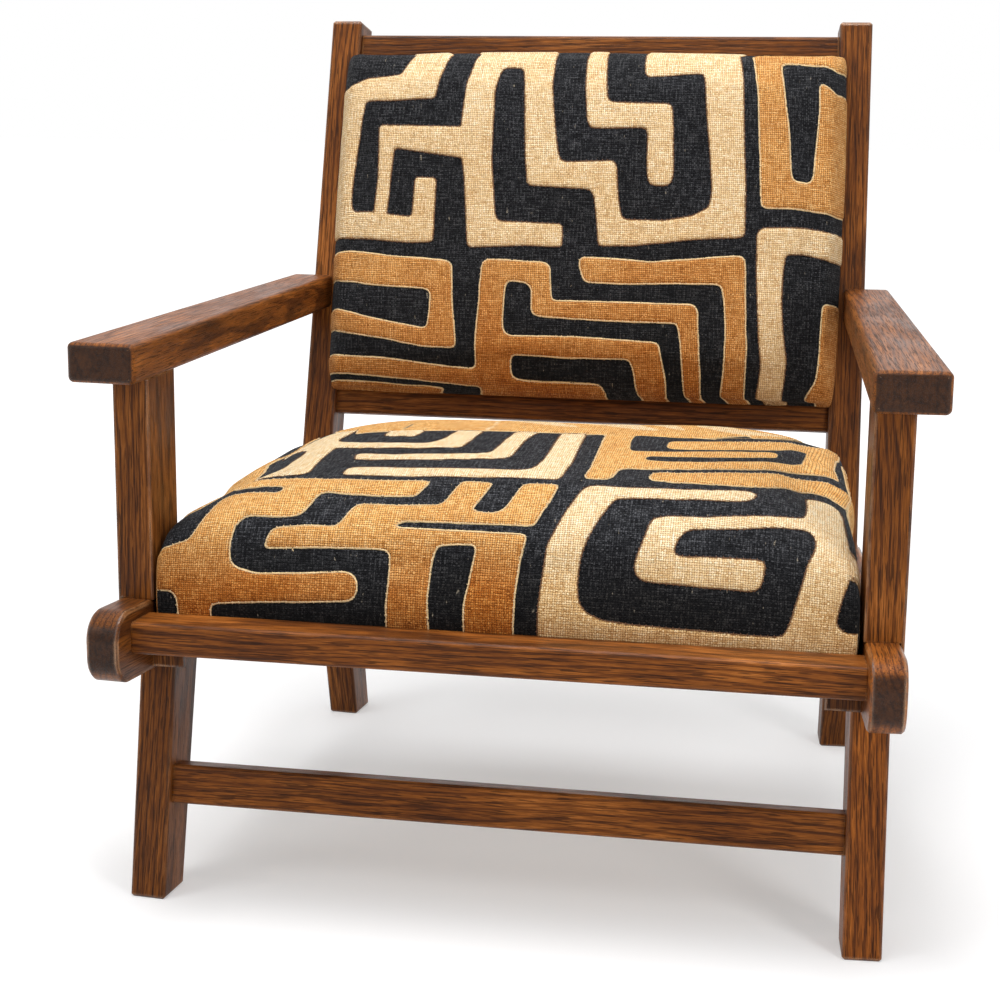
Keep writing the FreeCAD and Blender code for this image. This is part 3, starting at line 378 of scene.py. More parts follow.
def plywood(name, across, along):
    """Birch plywood: face veneer along one direction, ply stripes where the edge shows."""
    ply = material(name)
    grain = grain_space(ply, along, (0.4, 0.9, 0.1))
    streak = ply.noise(ply.stretch(grain, (1, 1, 0.05)), 160, 4.0, 0.6)
    cloud = ply.noise(ply.stretch(grain, (1, 1, 0.3)), 9, 2.0)
    value = ply.total((streak, 0.6), (cloud, 0.5))
    face = ply.colours(value, [(0.35, (168, 128, 84)), (0.75, (206, 170, 122))])
    depth = ply.vector("DOT_PRODUCT", ply.node("TexCoord").outputs["Object"], across)[1]
    stripe = ply.math("SINE", ply.times(depth, math.tau / TWO_PLIES))
    edge = ply.mix(ply.ramp(stripe, -0.3, 0.3), tone(120, 82, 48), tone(190, 150, 102))
    flat = ply.ramp(ply.facing(ply.node("NewGeometry").outputs["Normal"], across), 0.5, 0.9)
    ply.give(Base_Color=ply.mix(flat, edge, face), Roughness=ply.ramp(streak, 0.3, 0.7, 0.68, 0.54))
    ply.bump(streak, 0.2, 0.0004)
    return ply.owner


def zinc_steel():
    """Zinc-plated screws: bright, faintly mottled, with dull spots."""
    steel = material("zinc plated steel")
    mottle = steel.noise(steel.node("TexCoord").outputs["Object"], 700, 3.0)
    steel.give(Base_Color=steel.colours(mottle, [(0.3, (150, 150, 148)), (0.7, (196, 196, 192))]),
               Roughness=steel.ramp(mottle, 0.3, 0.7, 0.44, 0.28), Metallic=1.0)
    return steel.owner


dress("seat_board", plywood("birch plywood seat board", (0, 0, 1), (1, 0, 0)))
PANEL_FACE = (0, math.cos(LEAN), -math.sin(LEAN))
dress("back_panel", plywood("birch plywood back panel", PANEL_FACE, (1, 0, 0)))
steel = zinc_steel()
SCREWS = ["back_panel_screws", "cleat_screws", "leg_lip_screws", "arm_screws"]
for node in SCREWS:
    dress(node, steel)
print("other pieces:", sorted(set(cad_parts) - set(WOODEN) - set(SCREWS)))

# %% [markdown]
# The cloth's maze was cut and sewn by hand, so its lines are close to straight but never quite.
# The outlines below were read from the photograph, corner by corner, in centimetres on the
# cloth: for the back pad across and up the chair's back, for the seat across and along the cloth
# from the front rail over the top. Anything past the edge of a cushion runs on over its side.

# %% Patches on the back pad
BACK_CREAM = [
    [(-19.2, 77.5), (-19.5, 76), (-20.3, 74.2), (-24, 73.7), (-25.6, 73), (-27.5, 72.5),
     (-27.5, 56.6), (-22, 56.3), (-18, 56), (-15.3, 56.1), (-15.3, 62.8), (-17.7, 62.9),
     (-17.8, 58.7), (-22, 59.2), (-24.9, 59.3), (-25.2, 60.5), (-24.8, 66), (-24, 71), (-16, 71.2),
     (-15.8, 73), (-15, 77.5)],
    [(-22.1, 68.4), (-13, 68.2), (-11, 68.2), (-11, 64.6), (-12.7, 64.9), (-20, 65.9),
     (-20.2, 65.6), (-20.6, 58.5), (-22.2, 58.5), (-21.9, 63)],
    [(-12, 77.5), (-12.7, 73), (-13, 68.2), (-12.7, 64.9), (-12.3, 63), (-11.6, 56), (-11.4, 55.6),
     (-5, 55.9), (-1.5, 55.8), (-1.4, 56.2), (-1.5, 58.2), (-8.3, 58.4), (-8.7, 58.9), (-9.4, 65),
     (-9.5, 72), (-9.2, 74.5), (-8.8, 75), (-6.8, 74.9), (-6.4, 73), (-6.2, 70), (-5.8, 64.5),
     (-5.4, 62.1), (1.1, 61.8), (1.6, 61.3), (2, 59), (2.3, 56.3), (2.5, 56), (6, 56.1),
     (12, 56.9), (17, 57.3), (17.4, 57.5), (17.3, 62), (16.9, 68), (16.6, 74), (16.1, 77.5),
     (6.1, 77.5), (6.2, 75), (6.5, 74), (9, 74.2), (12.3, 74.5), (12.6, 74), (12.9, 70),
     (13.4, 66), (13.8, 62), (13.6, 60.3), (12, 59.4), (9, 58.8), (5, 58.8), (4.6, 59.2),
     (4.2, 61), (3.9, 64.3), (3.5, 64.8), (-1.7, 64.6), (-2.2, 65), (-2.8, 68), (-3.4, 73),
     (-3.5, 77.5)],
    [(-0.1, 77.5), (0, 74), (0.5, 69), (0.8, 68.3), (1.2, 68.1), (6.6, 68.2), (6.9, 67.8), (7, 64),
     (7.2, 62.7), (7.7, 62.3), (9.2, 62.3), (9.7, 62.8), (9.8, 64), (9.6, 68), (9.4, 70.4),
     (9.1, 70.8), (3, 70.9), (2.6, 71.2), (2.4, 73), (2, 77.5)],
    [(18.6, 57.9), (19.2, 58.4), (24, 58.5), (27.5, 58.2), (27.5, 55.2), (24, 55.8), (21.7, 55.7),
     (21.5, 54), (21.5, 51), (21.8, 48), (22.4, 45), (22.3, 43), (22, 40.5), (19.3, 40.5),
     (19.7, 44), (19.2, 48), (18.7, 54)],
]
BACK_OCHRE = [
    [(17.5, 77.5), (18.2, 72), (18.6, 66), (18.9, 61), (19.1, 60.4), (23, 60.4), (27.5, 60),
     (27.5, 72), (26, 72.8), (25.2, 73.3), (24.7, 73.3), (24.8, 70), (24.6, 65), (24.4, 63.4),
     (24, 63), (22.3, 63.1), (21.9, 63.6), (21.6, 67), (21, 72), (20.5, 75.6), (20.8, 75.8),
     (22, 75.8), (25.2, 75.4), (26.3, 75), (27.5, 74.6), (27.5, 77.5)],
    [(-27.5, 55), (-25, 55.1), (-20, 54.6), (-14, 54.2), (-13.2, 54), (-12.9, 50), (-12.4, 46),
     (-12.4, 45.3), (-12.8, 45.1), (-16, 45.2), (-20, 45.8), (-27.5, 46.9), (-27.5, 49.1),
     (-26, 48.9), (-20, 47.7), (-16, 47.1), (-15.5, 47.3), (-15.3, 49), (-15.3, 51), (-16, 51.3),
     (-22, 51.6), (-27.5, 52.2)],
    [(-27.5, 44.2), (-20, 43.6), (-14, 43), (-10.5, 42.8), (-10.2, 43.2), (-10.2, 46), (-10, 50),
     (-9.9, 53.8), (-9.5, 54.4), (-3.2, 54.2), (-2.6, 53.8), (-2.5, 52), (-2.3, 50.5), (-2, 50.3),
     (4, 50.3), (12.4, 50.3), (12.9, 49.8), (13.2, 46), (13.6, 40.5), (11.9, 40.5), (11.6, 44),
     (11.2, 47.5), (10.9, 48.3), (10.5, 48.4), (4, 48.4), (0, 48.5), (-3.8, 48.7), (-4.3, 49.1),
     (-4.4, 51.5), (-5, 52.1), (-6.9, 52.3), (-7.3, 51.8), (-7.4, 48), (-7.3, 47), (-6.6, 46.5),
     (0, 46.6), (8.7, 46.3), (9.1, 46), (9.5, 44), (9.9, 42), (9.9, 40.5), (7, 40.5), (6.6, 43),
     (6.2, 44.1), (5.8, 44.3), (0, 44.2), (-6.2, 44.4), (-6.5, 44), (-6.5, 42.5), (-6.2, 42),
     (-5, 41.8), (0, 41.8), (3, 41.7), (3.6, 40.5), (-10, 40.5), (-10, 41.1), (-20, 41.8),
     (-27.5, 42.3)],
    [(-27.5, 41.5), (-20, 41), (-14, 40.7), (-14, 40), (-27.5, 40)],
    [(0.4, 54.3), (0.6, 54.8), (4, 54.7), (8, 54.5), (13, 55), (16.8, 55.4), (17.5, 55.2),
     (17.6, 54), (17.8, 50), (18.1, 46), (18.1, 40.5), (15.7, 40.5), (15.9, 44), (15.9, 48),
     (15.6, 51), (15.3, 52.3), (14.8, 52.5), (10, 52.4), (5, 52.2), (1.2, 52.3), (0.8, 53)],
    [(27.5, 51), (26, 50.9), (25.9, 46), (25.6, 43), (24.8, 41.5), (24.5, 40.5), (27.5, 40.5)],
]
print("patches on the back pad:", len(BACK_CREAM), "cream,", len(BACK_OCHRE), "ochre")

# %% Patches on the seat cushion
SEAT_OCHRE = [
    [(-28, 0), (-28, 1.8), (-28.1, 3), (-28.5, 3.6), (-29.7, 3.7), (-31, 3.8), (-31, 8),
     (-29.3, 8), (-28.3, 8.4), (-27.4, 8.5), (-27, 9.2), (-26, 12), (-25.6, 13.7), (-24.8, 14.3),
     (-22.5, 13.9), (-20.5, 13.5), (-20, 13.7), (-19.8, 14.3), (-20.5, 14.7), (-22, 15),
     (-25, 15.6), (-24.8, 16.3), (-24, 17.2), (-23.4, 17.4), (-20, 16.3), (-16, 15.6), (-12, 15.4),
     (-7.3, 15.5), (-7.1, 15.3), (-7.8, 13.8), (-8.2, 13.5), (-12, 13.3), (-16, 13.6),
     (-16.6, 13.3), (-17.5, 11.2), (-17.9, 10.8), (-19, 10.6), (-22.5, 10.8), (-23.3, 10),
     (-23.5, 8), (-23.4, 6.4), (-22.8, 5.8), (-21, 5.4), (-17, 5.6), (-13, 5.9), (-12.2, 5.6),
     (-11.9, 4.8), (-12, 3.9), (-12.5, 3.5), (-16, 3.2), (-20, 3), (-24.6, 2.6), (-25, 2.3),
     (-25, 0)],
    [(-20.3, 8), (-20.2, 7.7), (-16, 7.9), (-10, 8), (-9.3, 7.7), (-9.2, 6), (-9.4, 0), (-5.7, 0),
     (-5.8, 4), (-5.7, 7), (-5.4, 8.3), (-5, 8.6), (-2.2, 8.8), (-1.9, 8.4), (-2.3, 6), (-2.6, 4),
     (-2.7, 0), (1.5, 0), (1.6, 5), (1.8, 7.5), (2.2, 9.6), (2, 9.9), (-8.9, 9.9), (-9.2, 10.1),
     (-8.6, 10.6), (-4, 10.7), (2.5, 10.8), (2.8, 11), (3.2, 12.5), (3.7, 14), (4.1, 15.6),
     (3.8, 15.9), (1.4, 15.8), (1.1, 15.6), (0.6, 14.2), (0, 12.5), (-0.5, 12), (-1.5, 11.9),
     (-2.7, 12.1), (-2.8, 12.5), (-2.2, 14), (-1.6, 15.4), (-1.8, 15.7), (-4, 15.7), (-4.3, 15.5),
     (-4.9, 14), (-5.4, 12.8), (-6, 12.5), (-9, 12.3), (-12.6, 12.3), (-13.1, 11.8), (-13.8, 10.3),
     (-14.3, 9.8), (-17, 9.8), (-19.5, 9.6), (-20, 9.2)],
    [(6.1, 32), (6.2, 28), (6.3, 24), (6.3, 20), (6.1, 18), (6.4, 17.4), (7.9, 17.4), (8.4, 17.9),
     (8.7, 20), (9.1, 20.4), (12, 20.7), (15, 21.3), (18, 22.4), (20, 23.2), (22, 24.4),
     (23.8, 26.1), (25.5, 28.2), (26.6, 29.2), (27.3, 29), (26.8, 32), (26.9, 36), (27.2, 38),
     (27.2, 49), (25.8, 49), (25.5, 40), (24, 37), (22, 34.3), (20, 32.5), (18, 31.5), (15, 31.8),
     (9.5, 31.9)],
    [(11.7, 19.3), (12, 19.7), (14, 20), (16, 20.5), (18, 21.3), (20, 22.1), (22, 23.3),
     (24, 24.8), (25.3, 26), (26.3, 27), (28.5, 27), (28.6, 23.2), (28, 23.2), (27, 23.6),
     (26, 23.2), (25.3, 22.5), (24, 20.7), (22, 19.2), (20, 18.4), (18, 18), (16, 17.8),
     (14, 17.6), (12, 17.8), (11.6, 18.3)],
    [(-18, 32.2), (-14.7, 32), (-8, 31.9), (1.9, 31.8), (9, 31.7), (13, 31.6), (16, 32.1),
     (17.5, 33.6), (19.2, 35.2), (19.5, 34.1), (21.5, 36), (23, 38), (24, 41), (24.3, 49),
     (-24, 49), (-23, 42), (-21, 36), (-18.4, 34.4)],
    [(-31, 13.6), (-27.6, 13.8), (-26.8, 15.2), (-25.9, 17.6), (-25.3, 20), (-25.2, 22),
     (-25.3, 26), (-25.6, 29), (-25.2, 31), (-24, 33), (-23, 34.8), (-22.6, 36), (-23.4, 36),
     (-25, 33.5), (-26.5, 31), (-31, 30.5)],
    [(27.6, 37), (28, 37), (28.7, 30), (29.5, 24), (29.8, 20), (29.3, 20), (28.9, 24), (28.1, 30)],
]
SEAT_CREAM = [
    [(-18.4, 25.8), (-18.6, 22), (-18.5, 17.9), (-18.9, 17.3), (-20, 17.3), (-22, 17.8),
     (-24.2, 18.3), (-24, 19.5), (-23.5, 20.3), (-22.2, 20.5), (-21.9, 22), (-21.5, 24.6),
     (-21.4, 26), (-21.5, 27), (-22.3, 27.7), (-24.5, 28), (-24.5, 29), (-23, 30.7), (-22, 33),
     (-21.2, 35.2), (-20.5, 35.2), (-18.2, 34.3), (-18.5, 34), (-19, 30), (-18.7, 28.9),
     (-18, 28.3), (-16, 27.3), (-13, 26.7), (-10, 26.4), (-9.4, 26.7), (-8.6, 28), (-8.1, 31),
     (-8, 31.8), (-5.4, 31.7), (-5.6, 30), (-6, 26), (-6.2, 25), (-7, 24.8), (-10, 24.6),
     (-13, 24.7), (-16, 25.2), (-18, 26)],
    [(-14.7, 32), (-14.8, 30.2), (-14.3, 29.6), (-12.2, 29.2), (-11.6, 29), (-11.3, 30),
     (-11, 31.8)],
    [(-2.4, 31.7), (-2.8, 28), (-3.1, 24.5), (-3.3, 23.6), (-4, 23.2), (-6, 22.9), (-9, 22.7),
     (-12, 22.5), (-14, 22.9), (-15.5, 23.2), (-15.5, 22.5), (-15.4, 21.6), (-15, 21.1),
     (-13, 20.8), (-9, 20.8), (-5, 21.2), (-2.2, 21.6), (-1.4, 22), (-1.1, 23), (-1, 25),
     (-0.9, 28), (-0.6, 30), (-0.2, 31.7)],
    [(1.9, 31.7), (1.9, 24), (1.8, 22), (1.5, 20), (1, 19), (0, 18.8), (-5, 18.6), (-10, 18.5),
     (-14.5, 18.7), (-15.2, 18.4), (-15.3, 17.2), (-15, 16.5), (-13, 16.4), (-9, 16.3), (-5, 16.5),
     (0, 16.8), (3.8, 16.9), (4.1, 17.3), (4.3, 19), (4.5, 22), (4.4, 25), (4.3, 31.8)],
    [(3.6, 0), (3.6, 4), (3.8, 6.5), (4, 9), (4.7, 11), (5.3, 13), (6, 14.7), (6.5, 15.7),
     (7.2, 16.1), (10, 16), (14, 16.2), (17, 16.6), (20, 17.4), (20.8, 17.2), (21, 16.5),
     (20.6, 15.7), (20, 15.2), (18, 14.8), (14, 14.4), (9.3, 14.2), (8.8, 13.3), (8, 11.5),
     (7.3, 9.5), (6.9, 8), (6.8, 6), (7, 4.5), (7.6, 3.7), (9, 3.1), (11, 2.9), (16, 2.7),
     (21, 2.5), (23.5, 2.5), (24, 2.8), (24.5, 4.5), (25, 6.5), (25.5, 9), (26.1, 10.8),
     (26.1, 12), (25.8, 12.7), (25.2, 12.9), (23, 12.4), (20, 11.6), (17, 11.3), (15.8, 11.2),
     (15.1, 10.6), (14.7, 9.5), (14.6, 8.9), (15.2, 8.7), (18, 8.8), (21.9, 8.9), (22.2, 8.5),
     (22, 7), (21.7, 6.3), (21, 6.1), (17, 6.2), (13, 6.4), (11.9, 6.6), (11.4, 7.3), (11.5, 8.3),
     (12, 10), (12.4, 11.8), (12.8, 12.3), (14, 12.5), (17, 12.6), (20, 13.2), (22.5, 13.8),
     (24.5, 14.4), (25.1, 14.9), (25.3, 17), (25.2, 19.5), (25.4, 20.5), (26, 21.3), (27, 21.9),
     (28, 21.5), (28.4, 20), (28.6, 17), (28.9, 13.5), (29.2, 10), (28.9, 8), (28.4, 6), (28, 4),
     (28.5, 3.5), (29.5, 3), (31, 2.8), (31, 0)],
]
SEAT_DARK = [
    [(8.8, 31.5), (8.7, 29), (8.9, 26.5), (9.2, 25.6), (12, 25.8), (14, 26.2), (16, 26.8),
     (18, 27.5), (20, 28.4), (21.8, 29.5), (22.2, 29.2), (22, 28), (20, 26.6), (18, 25.6),
     (16, 25), (14, 24.5), (12, 24.3), (10.8, 24.2), (10.6, 23.3), (11, 22.8), (13, 22.8),
     (16, 23.5), (18, 24.3), (20, 25.2), (22, 26.5), (23.8, 28), (24.6, 29.4), (24.7, 31),
     (24.9, 34.4), (24, 33), (22, 30.5), (20, 29.1), (17, 27.8), (14, 27), (12.6, 26.9),
     (12.2, 27.5), (12.2, 29.5), (14, 29.9), (16, 30.4), (18, 31.2), (20, 32.5), (22, 34.3),
     (24, 37), (25.5, 40), (25.6, 49), (24.5, 49), (24.3, 40), (23, 37.5), (21.5, 35.5),
     (19.3, 34), (16, 32), (15, 31.5), (13, 31.2), (9.5, 31.6)],
    [(-13.6, 32), (-13.2, 32), (-13, 35.4), (-13.3, 35.4)],
]
SEAT_FADED = [
    [(-6, 39.8), (-4.5, 38.2), (-2, 36.6), (1, 35.4), (3.2, 34.8), (2.6, 36), (0.6, 37.6),
     (-0.5, 39.5)],
    [(1.5, 39.3), (2.5, 38.2), (5, 36.8), (8, 35), (9.8, 34.3), (11, 34.6), (9.5, 36.5),
     (8.3, 38.6), (6, 39.6)],
    [(9.2, 39), (10.5, 37.4), (12, 35.6), (13.2, 35.2), (12.6, 37.2), (11.6, 39.2)],
    [(13.8, 44), (13.9, 39), (14.6, 37.6), (16.5, 35.6), (18.5, 35), (20.5, 35.9), (22.3, 37.5),
     (22.8, 38.6), (21, 38), (19.5, 37.6), (18, 38.3), (17.2, 40), (17, 44)],
    [(20, 44), (20.2, 40.3), (21.5, 39.9), (22.4, 41), (22.5, 44)],
    [(-5.5, 32), (-5, 32), (-4.8, 34), (-4.9, 37.5), (-5.3, 37.5), (-5.1, 34)],
]
print("patches on the seat:", len(SEAT_OCHRE), "ochre,", len(SEAT_CREAM), "cream,",
      len(SEAT_DARK), "dark,", len(SEAT_FADED), "faded")

# %% [markdown]
# How does a shader know where a patch ends? Each point of the cushion stores how far it lies from
# the nearest patch edge, counted minus inside the patch. Such a distance changes evenly, so it
# stays exact between the points of a mesh, and one number gives the patch, its sewn edge and the
# slight step down to the ground cloth. The corners of every outline are first cut twice, as
# scissors and a turned hem round them.

# %% Distance to a patch
FAR = 0.02
SCISSOR_CUT, HEM_CUT = 0.0026, 0.0011


def rounded(outline, reach):
    """The outline with each corner cut back, never more than a third along an edge."""
    before, after = np.roll(outline, 1, 0) - outline, np.roll(outline, -1, 0) - outline
    cut = [outline + way * np.minimum(reach / np.maximum(np.hypot(*way.T)[:, None], 1e-9), 0.33)
           for way in (before, after)]
    return np.stack(cut, 1).reshape(-1, 2)


def hemmed(outline):
    """A patch outline in metres, with its corners turned as a hem turns them."""
    return rounded(rounded(np.array(outline) / 100, SCISSOR_CUT), HEM_CUT)


def distance_to_patches(points, outlines):
    """For cloth points in metres: distance to the nearest patch edge, minus inside."""
    nearest = np.full(len(points), FAR)
    for outline in outlines:
        edge = hemmed(outline)
        low, high = edge.min(0) - FAR, edge.max(0) + FAR
        near = np.where(((points > low) & (points < high)).all(1))[0]
        spot = points[near]
        best = np.full(len(near), FAR)
        inside = np.zeros(len(near), bool)
        for start, end in zip(edge, np.roll(edge, -1, 0)):
            run = end - start
            share = np.clip(((spot - start) @ run) / max(run @ run, 1e-12), 0, 1)
            best = np.minimum(best, np.hypot(*(spot - start - share[:, None] * run).T))
            if start[1] != end[1]:
                crosses = (start[1] > spot[:, 1]) != (end[1] > spot[:, 1])
                at = start[0] + (spot[:, 1] - start[1]) * run[0] / run[1]
                inside ^= crosses & (spot[:, 0] < at)
        nearest[near] = np.minimum(nearest[near], np.where(inside, -best, best))
    return nearest


square = [(0, 0), (2, 0), (2, 2), (0, 2)]
print("centre of a 2 cm square:", distance_to_patches(np.array([[0.01, 0.01]]), [square]).round(4))

# %% [markdown]
# Raffia is woven in plain weave: every thread goes over one and under the next. The threads are
# flat strips of leaf, torn by hand, so they differ in width and colour. Two ridged waves, one
# across and one along the cloth, take turns to be on top and give the height; noise stretched
# along each set of threads gives the colour, and the pits between the threads are painted darker
# as painted shade. Each dye has three shades of thread for cloth that is fresh and in shade, and
# three more for cloth faded by sun and lit from above. The mix between them is stored on the
# cover, and it is partly sun fading and partly painted light: lighter on top, darker on the front
# and low down. Patch edges carry a couched thread, pale round the ochre and brown round the cream.

# %% Raffia cloth
THREAD = 0.0020
WOBBLE = 0.0016
EDGE_SOFT, SEAM_SHIFT = 0.00018, 0.0003
SHADES = (0.32, 0.49, 0.66)
# Each dye: fresh shades for cloth in shade, then faded shades for lit cloth; the second set is
# partly sun fading, partly painted light, and on the charcoal partly a painted sheen.
CHARCOAL = ((5, 5, 6), (13, 13, 14), (46, 44, 42)), ((17, 18, 20), (35, 36, 40), (88, 89, 93))
CREAM = (((176, 130, 78), (220, 180, 124), (248, 222, 176)),
         ((226, 186, 134), (250, 226, 180), (255, 248, 222)))
OCHRE = (((128, 66, 15), (177, 102, 36), (213, 144, 70)),
         ((208, 142, 72), (244, 186, 110), (255, 218, 154)))
PALE_SEAM, BROWN_SEAM, DARK_SEAM = tone(244, 214, 162), tone(112, 72, 36), tone(222, 186, 132)
FLECK = tone(176, 164, 144)


def raffia_cloth():
    cloth = material("appliqued raffia cloth")
    spread = cloth.node("UVMap", uv_map="cloth").outputs[0]
    wander = cloth.node("TexNoise", {"Vector": spread, "Scale": 90.0, "Detail": 2.0})
    wander = cloth.vector("SUBTRACT", wander.outputs["Color"], (0.5, 0.5, 0.5))[0]
    wander = cloth.node("VectorMath", {0: wander, "Scale": WOBBLE}, operation="SCALE").outputs[0]
    woven = cloth.vector("ADD", spread, wander)[0]
    ways = cloth.node("SeparateXYZ", {0: woven}).outputs
    across, along = (cloth.math("SINE", cloth.times(way, math.pi / THREAD)) for way in ways[:2])
    on_top = cloth.ramp(cloth.times(across, along), -0.5, 0.5)
    below = cloth.rest(on_top)
    weave = cloth.math("MAXIMUM", cloth.times(cloth.math("ABSOLUTE", across), on_top),
                       cloth.times(cloth.math("ABSOLUTE", along), below))

    warp = cloth.noise(cloth.stretch(woven, (520, 75, 1)), 1.0, 2.0)
    weft = cloth.noise(cloth.stretch(woven, (75, 520, 1)), 1.0, 2.0)
    strands = cloth.math("ADD", cloth.times(warp, on_top), cloth.times(weft, below))
    fade = cloth.noise(spread, 7.0, 3.0, 0.6)
    fleck = cloth.ramp(cloth.noise(cloth.stretch(woven, (260, 90, 1)), 1.0, 2.0), 0.70, 0.76)
    crinkle = cloth.noise(spread, 150.0, 2.0, 0.5, 1.6)
    ragged = cloth.noise(spread, 260.0, 3.0, 0.6)
    drift = cloth.noise(spread, 45.0, 1.0)

    def distance(name, amount=0.0013, sway=0.0020):
        """A stored distance, made uneven as scissors and thread leave it."""
        moved = cloth.node("Attribute", attribute_name=name).outputs["Fac"]
        for noise, most in ((ragged, amount), (drift, sway)):
            moved = cloth.math("MULTIPLY_ADD", cloth.math("SUBTRACT", noise, 0.5), most, moved)
        return moved

    cream, ochre, dark = distance("to_cream"), distance("to_ochre"), distance("to_dark")
    is_cream, is_ochre, is_dark = (cloth.ramp(far, EDGE_SOFT, -EDGE_SOFT)
                                   for far in (cream, ochre, dark))

    # Share of faded and lit thread: partly sun fading, partly painted light, with random fading
    # added.
    fade_and_light = cloth.node("Attribute", attribute_name="fade_and_light").outputs["Fac"]
    fade_and_light = cloth.math("ADD", fade_and_light, cloth.ramp(fade, 0.36, 0.66, -0.12, 0.16))
    # Painted shade: the pits between the threads and the hollows of the crinkle are made darker.
    pit_shade = cloth.ramp(weave, 0.16, 0.58, 0.05, 1.0)
    pit_shade = cloth.rest(cloth.times(pit_shade, cloth.ramp(crinkle, 0.30, 0.52, 0.72, 1.0)))

    def dyed(dye, pit_shade_colour, flecked=False):
        """One dye: fresh, shaded thread mixed with faded, lit thread, partly sun fading and partly
        painted light, and painted shade in the pits between the threads.
        """
        fresh_and_shaded, faded_and_lit = (cloth.colours(strands, list(zip(SHADES, shades))) for shades in dye)
        shade = cloth.mix(fade_and_light, fresh_and_shaded, faded_and_lit)
        if flecked:
            shade = cloth.mix(cloth.times(fleck, 0.6), shade, FLECK)
        return cloth.mix(pit_shade, shade, pit_shade_colour)

    def seam(far, wide, thin):
        """1 on the line where the distance is nothing, 0 beside it."""
        return cloth.ramp(cloth.math("ABSOLUTE", far), wide, thin)

    ground = dyed(CHARCOAL, tone(8, 8, 10), flecked=True)
    sand = dyed(CREAM, tone(156, 112, 66))
    earth = dyed(OCHRE, tone(104, 56, 20))
    faded = cloth.ramp(distance("to_faded", 0.004), 0.0008, -0.0008)
    earth = cloth.mix(cloth.times(faded, 0.8), earth, sand)

    near_ochre = cloth.times(seam(cloth.math("SUBTRACT", ochre, SEAM_SHIFT), 0.0009, 0.0005),
                             cloth.ramp(ragged, 0.34, 0.44))
    near_cream = cloth.times(seam(cloth.math("ADD", cream, SEAM_SHIFT), 0.0008, 0.0004),
                             cloth.ramp(ragged, 0.36, 0.54))
    near_dark = seam(dark, 0.0009, 0.0004)
    shade = ground
    for share, colour in ((is_ochre, earth), (cloth.times(near_ochre, 0.88), PALE_SEAM),
                          (is_cream, sand), (cloth.times(near_cream, 0.85), BROWN_SEAM),
                          (is_dark, ground), (cloth.times(near_dark, 0.6), DARK_SEAM)):
        shade = cloth.mix(share, shade, colour)

    patch = cloth.ramp(cloth.math("MINIMUM", cream, ochre), 0.0008, -0.0022)
    couched = cloth.math("MAXIMUM", near_ochre, cloth.times(near_cream, 0.4))
    height = cloth.total((strands, 0.35), (weave, 0.42), (crinkle, 1.5), (patch, 1.2),
                         (couched, 0.5))
    cloth.bump(height, 1.0, 0.0012)
    cloth.give(Base_Color=shade, Roughness=cloth.ramp(strands, 0.3, 0.7, 0.94, 0.74),
               Specular_IOR_Level=0.10, Sheen_Weight=0.025, Sheen_Roughness=0.5)
    return cloth.owner


CLOTH = raffia_cloth()
print("cloth tree has", len(CLOTH.node_tree.nodes), "nodes")

# %% [markdown]
# A cushion cover is a box of cloth: a top, a bottom and four sides, sewn along their edges. Here
# it is a box of small squares whose corners are placed by a rule, so that every panel shares its
# edge points with the next and each panel has its own measure of cloth. The rule gives the stuffed
# shape; stations along the cushion, set against the photograph, say how full it is there.

# %% Curves through given stations
def part(value, start, reach):
    """How far a value has come from the start, from 0 to 1 over the reach."""
    return np.clip((value - start) / reach, 0, 1)


def eased(at, knots, values):
    """A smooth curve through the stations that never swings past them."""
    step = np.diff(knots)
    rise = np.diff(values) / step
    slope = np.zeros(len(knots))
    for k in range(1, len(knots) - 1):
        if rise[k - 1] * rise[k] > 0:
            first, second = 2 * step[k] + step[k - 1], step[k] + 2 * step[k - 1]
            slope[k] = (first + second) / (first / rise[k - 1] + second / rise[k])
    for end, near, far in ((0, 0, 1), (-1, -1, -2)):
        lean = (2 * step[near] + step[far]) * rise[near] - step[near] * rise[far]
        lean = lean / (step[near] + step[far])
        if lean * rise[near] <= 0:
            lean = 0.0
        elif rise[near] * rise[far] <= 0 and abs(lean) > 3 * abs(rise[near]):
            lean = 3 * rise[near]
        slope[end] = lean
    k = np.clip(np.searchsorted(knots, at) - 1, 0, len(step) - 1)
    t = (at - knots[k]) / step[k]
    return (values[k] * (1 + 2 * t) * (1 - t) ** 2 + slope[k] * step[k] * t * (1 - t) ** 2
            + values[k + 1] * t * t * (3 - 2 * t) + slope[k + 1] * step[k] * t * t * (t - 1))


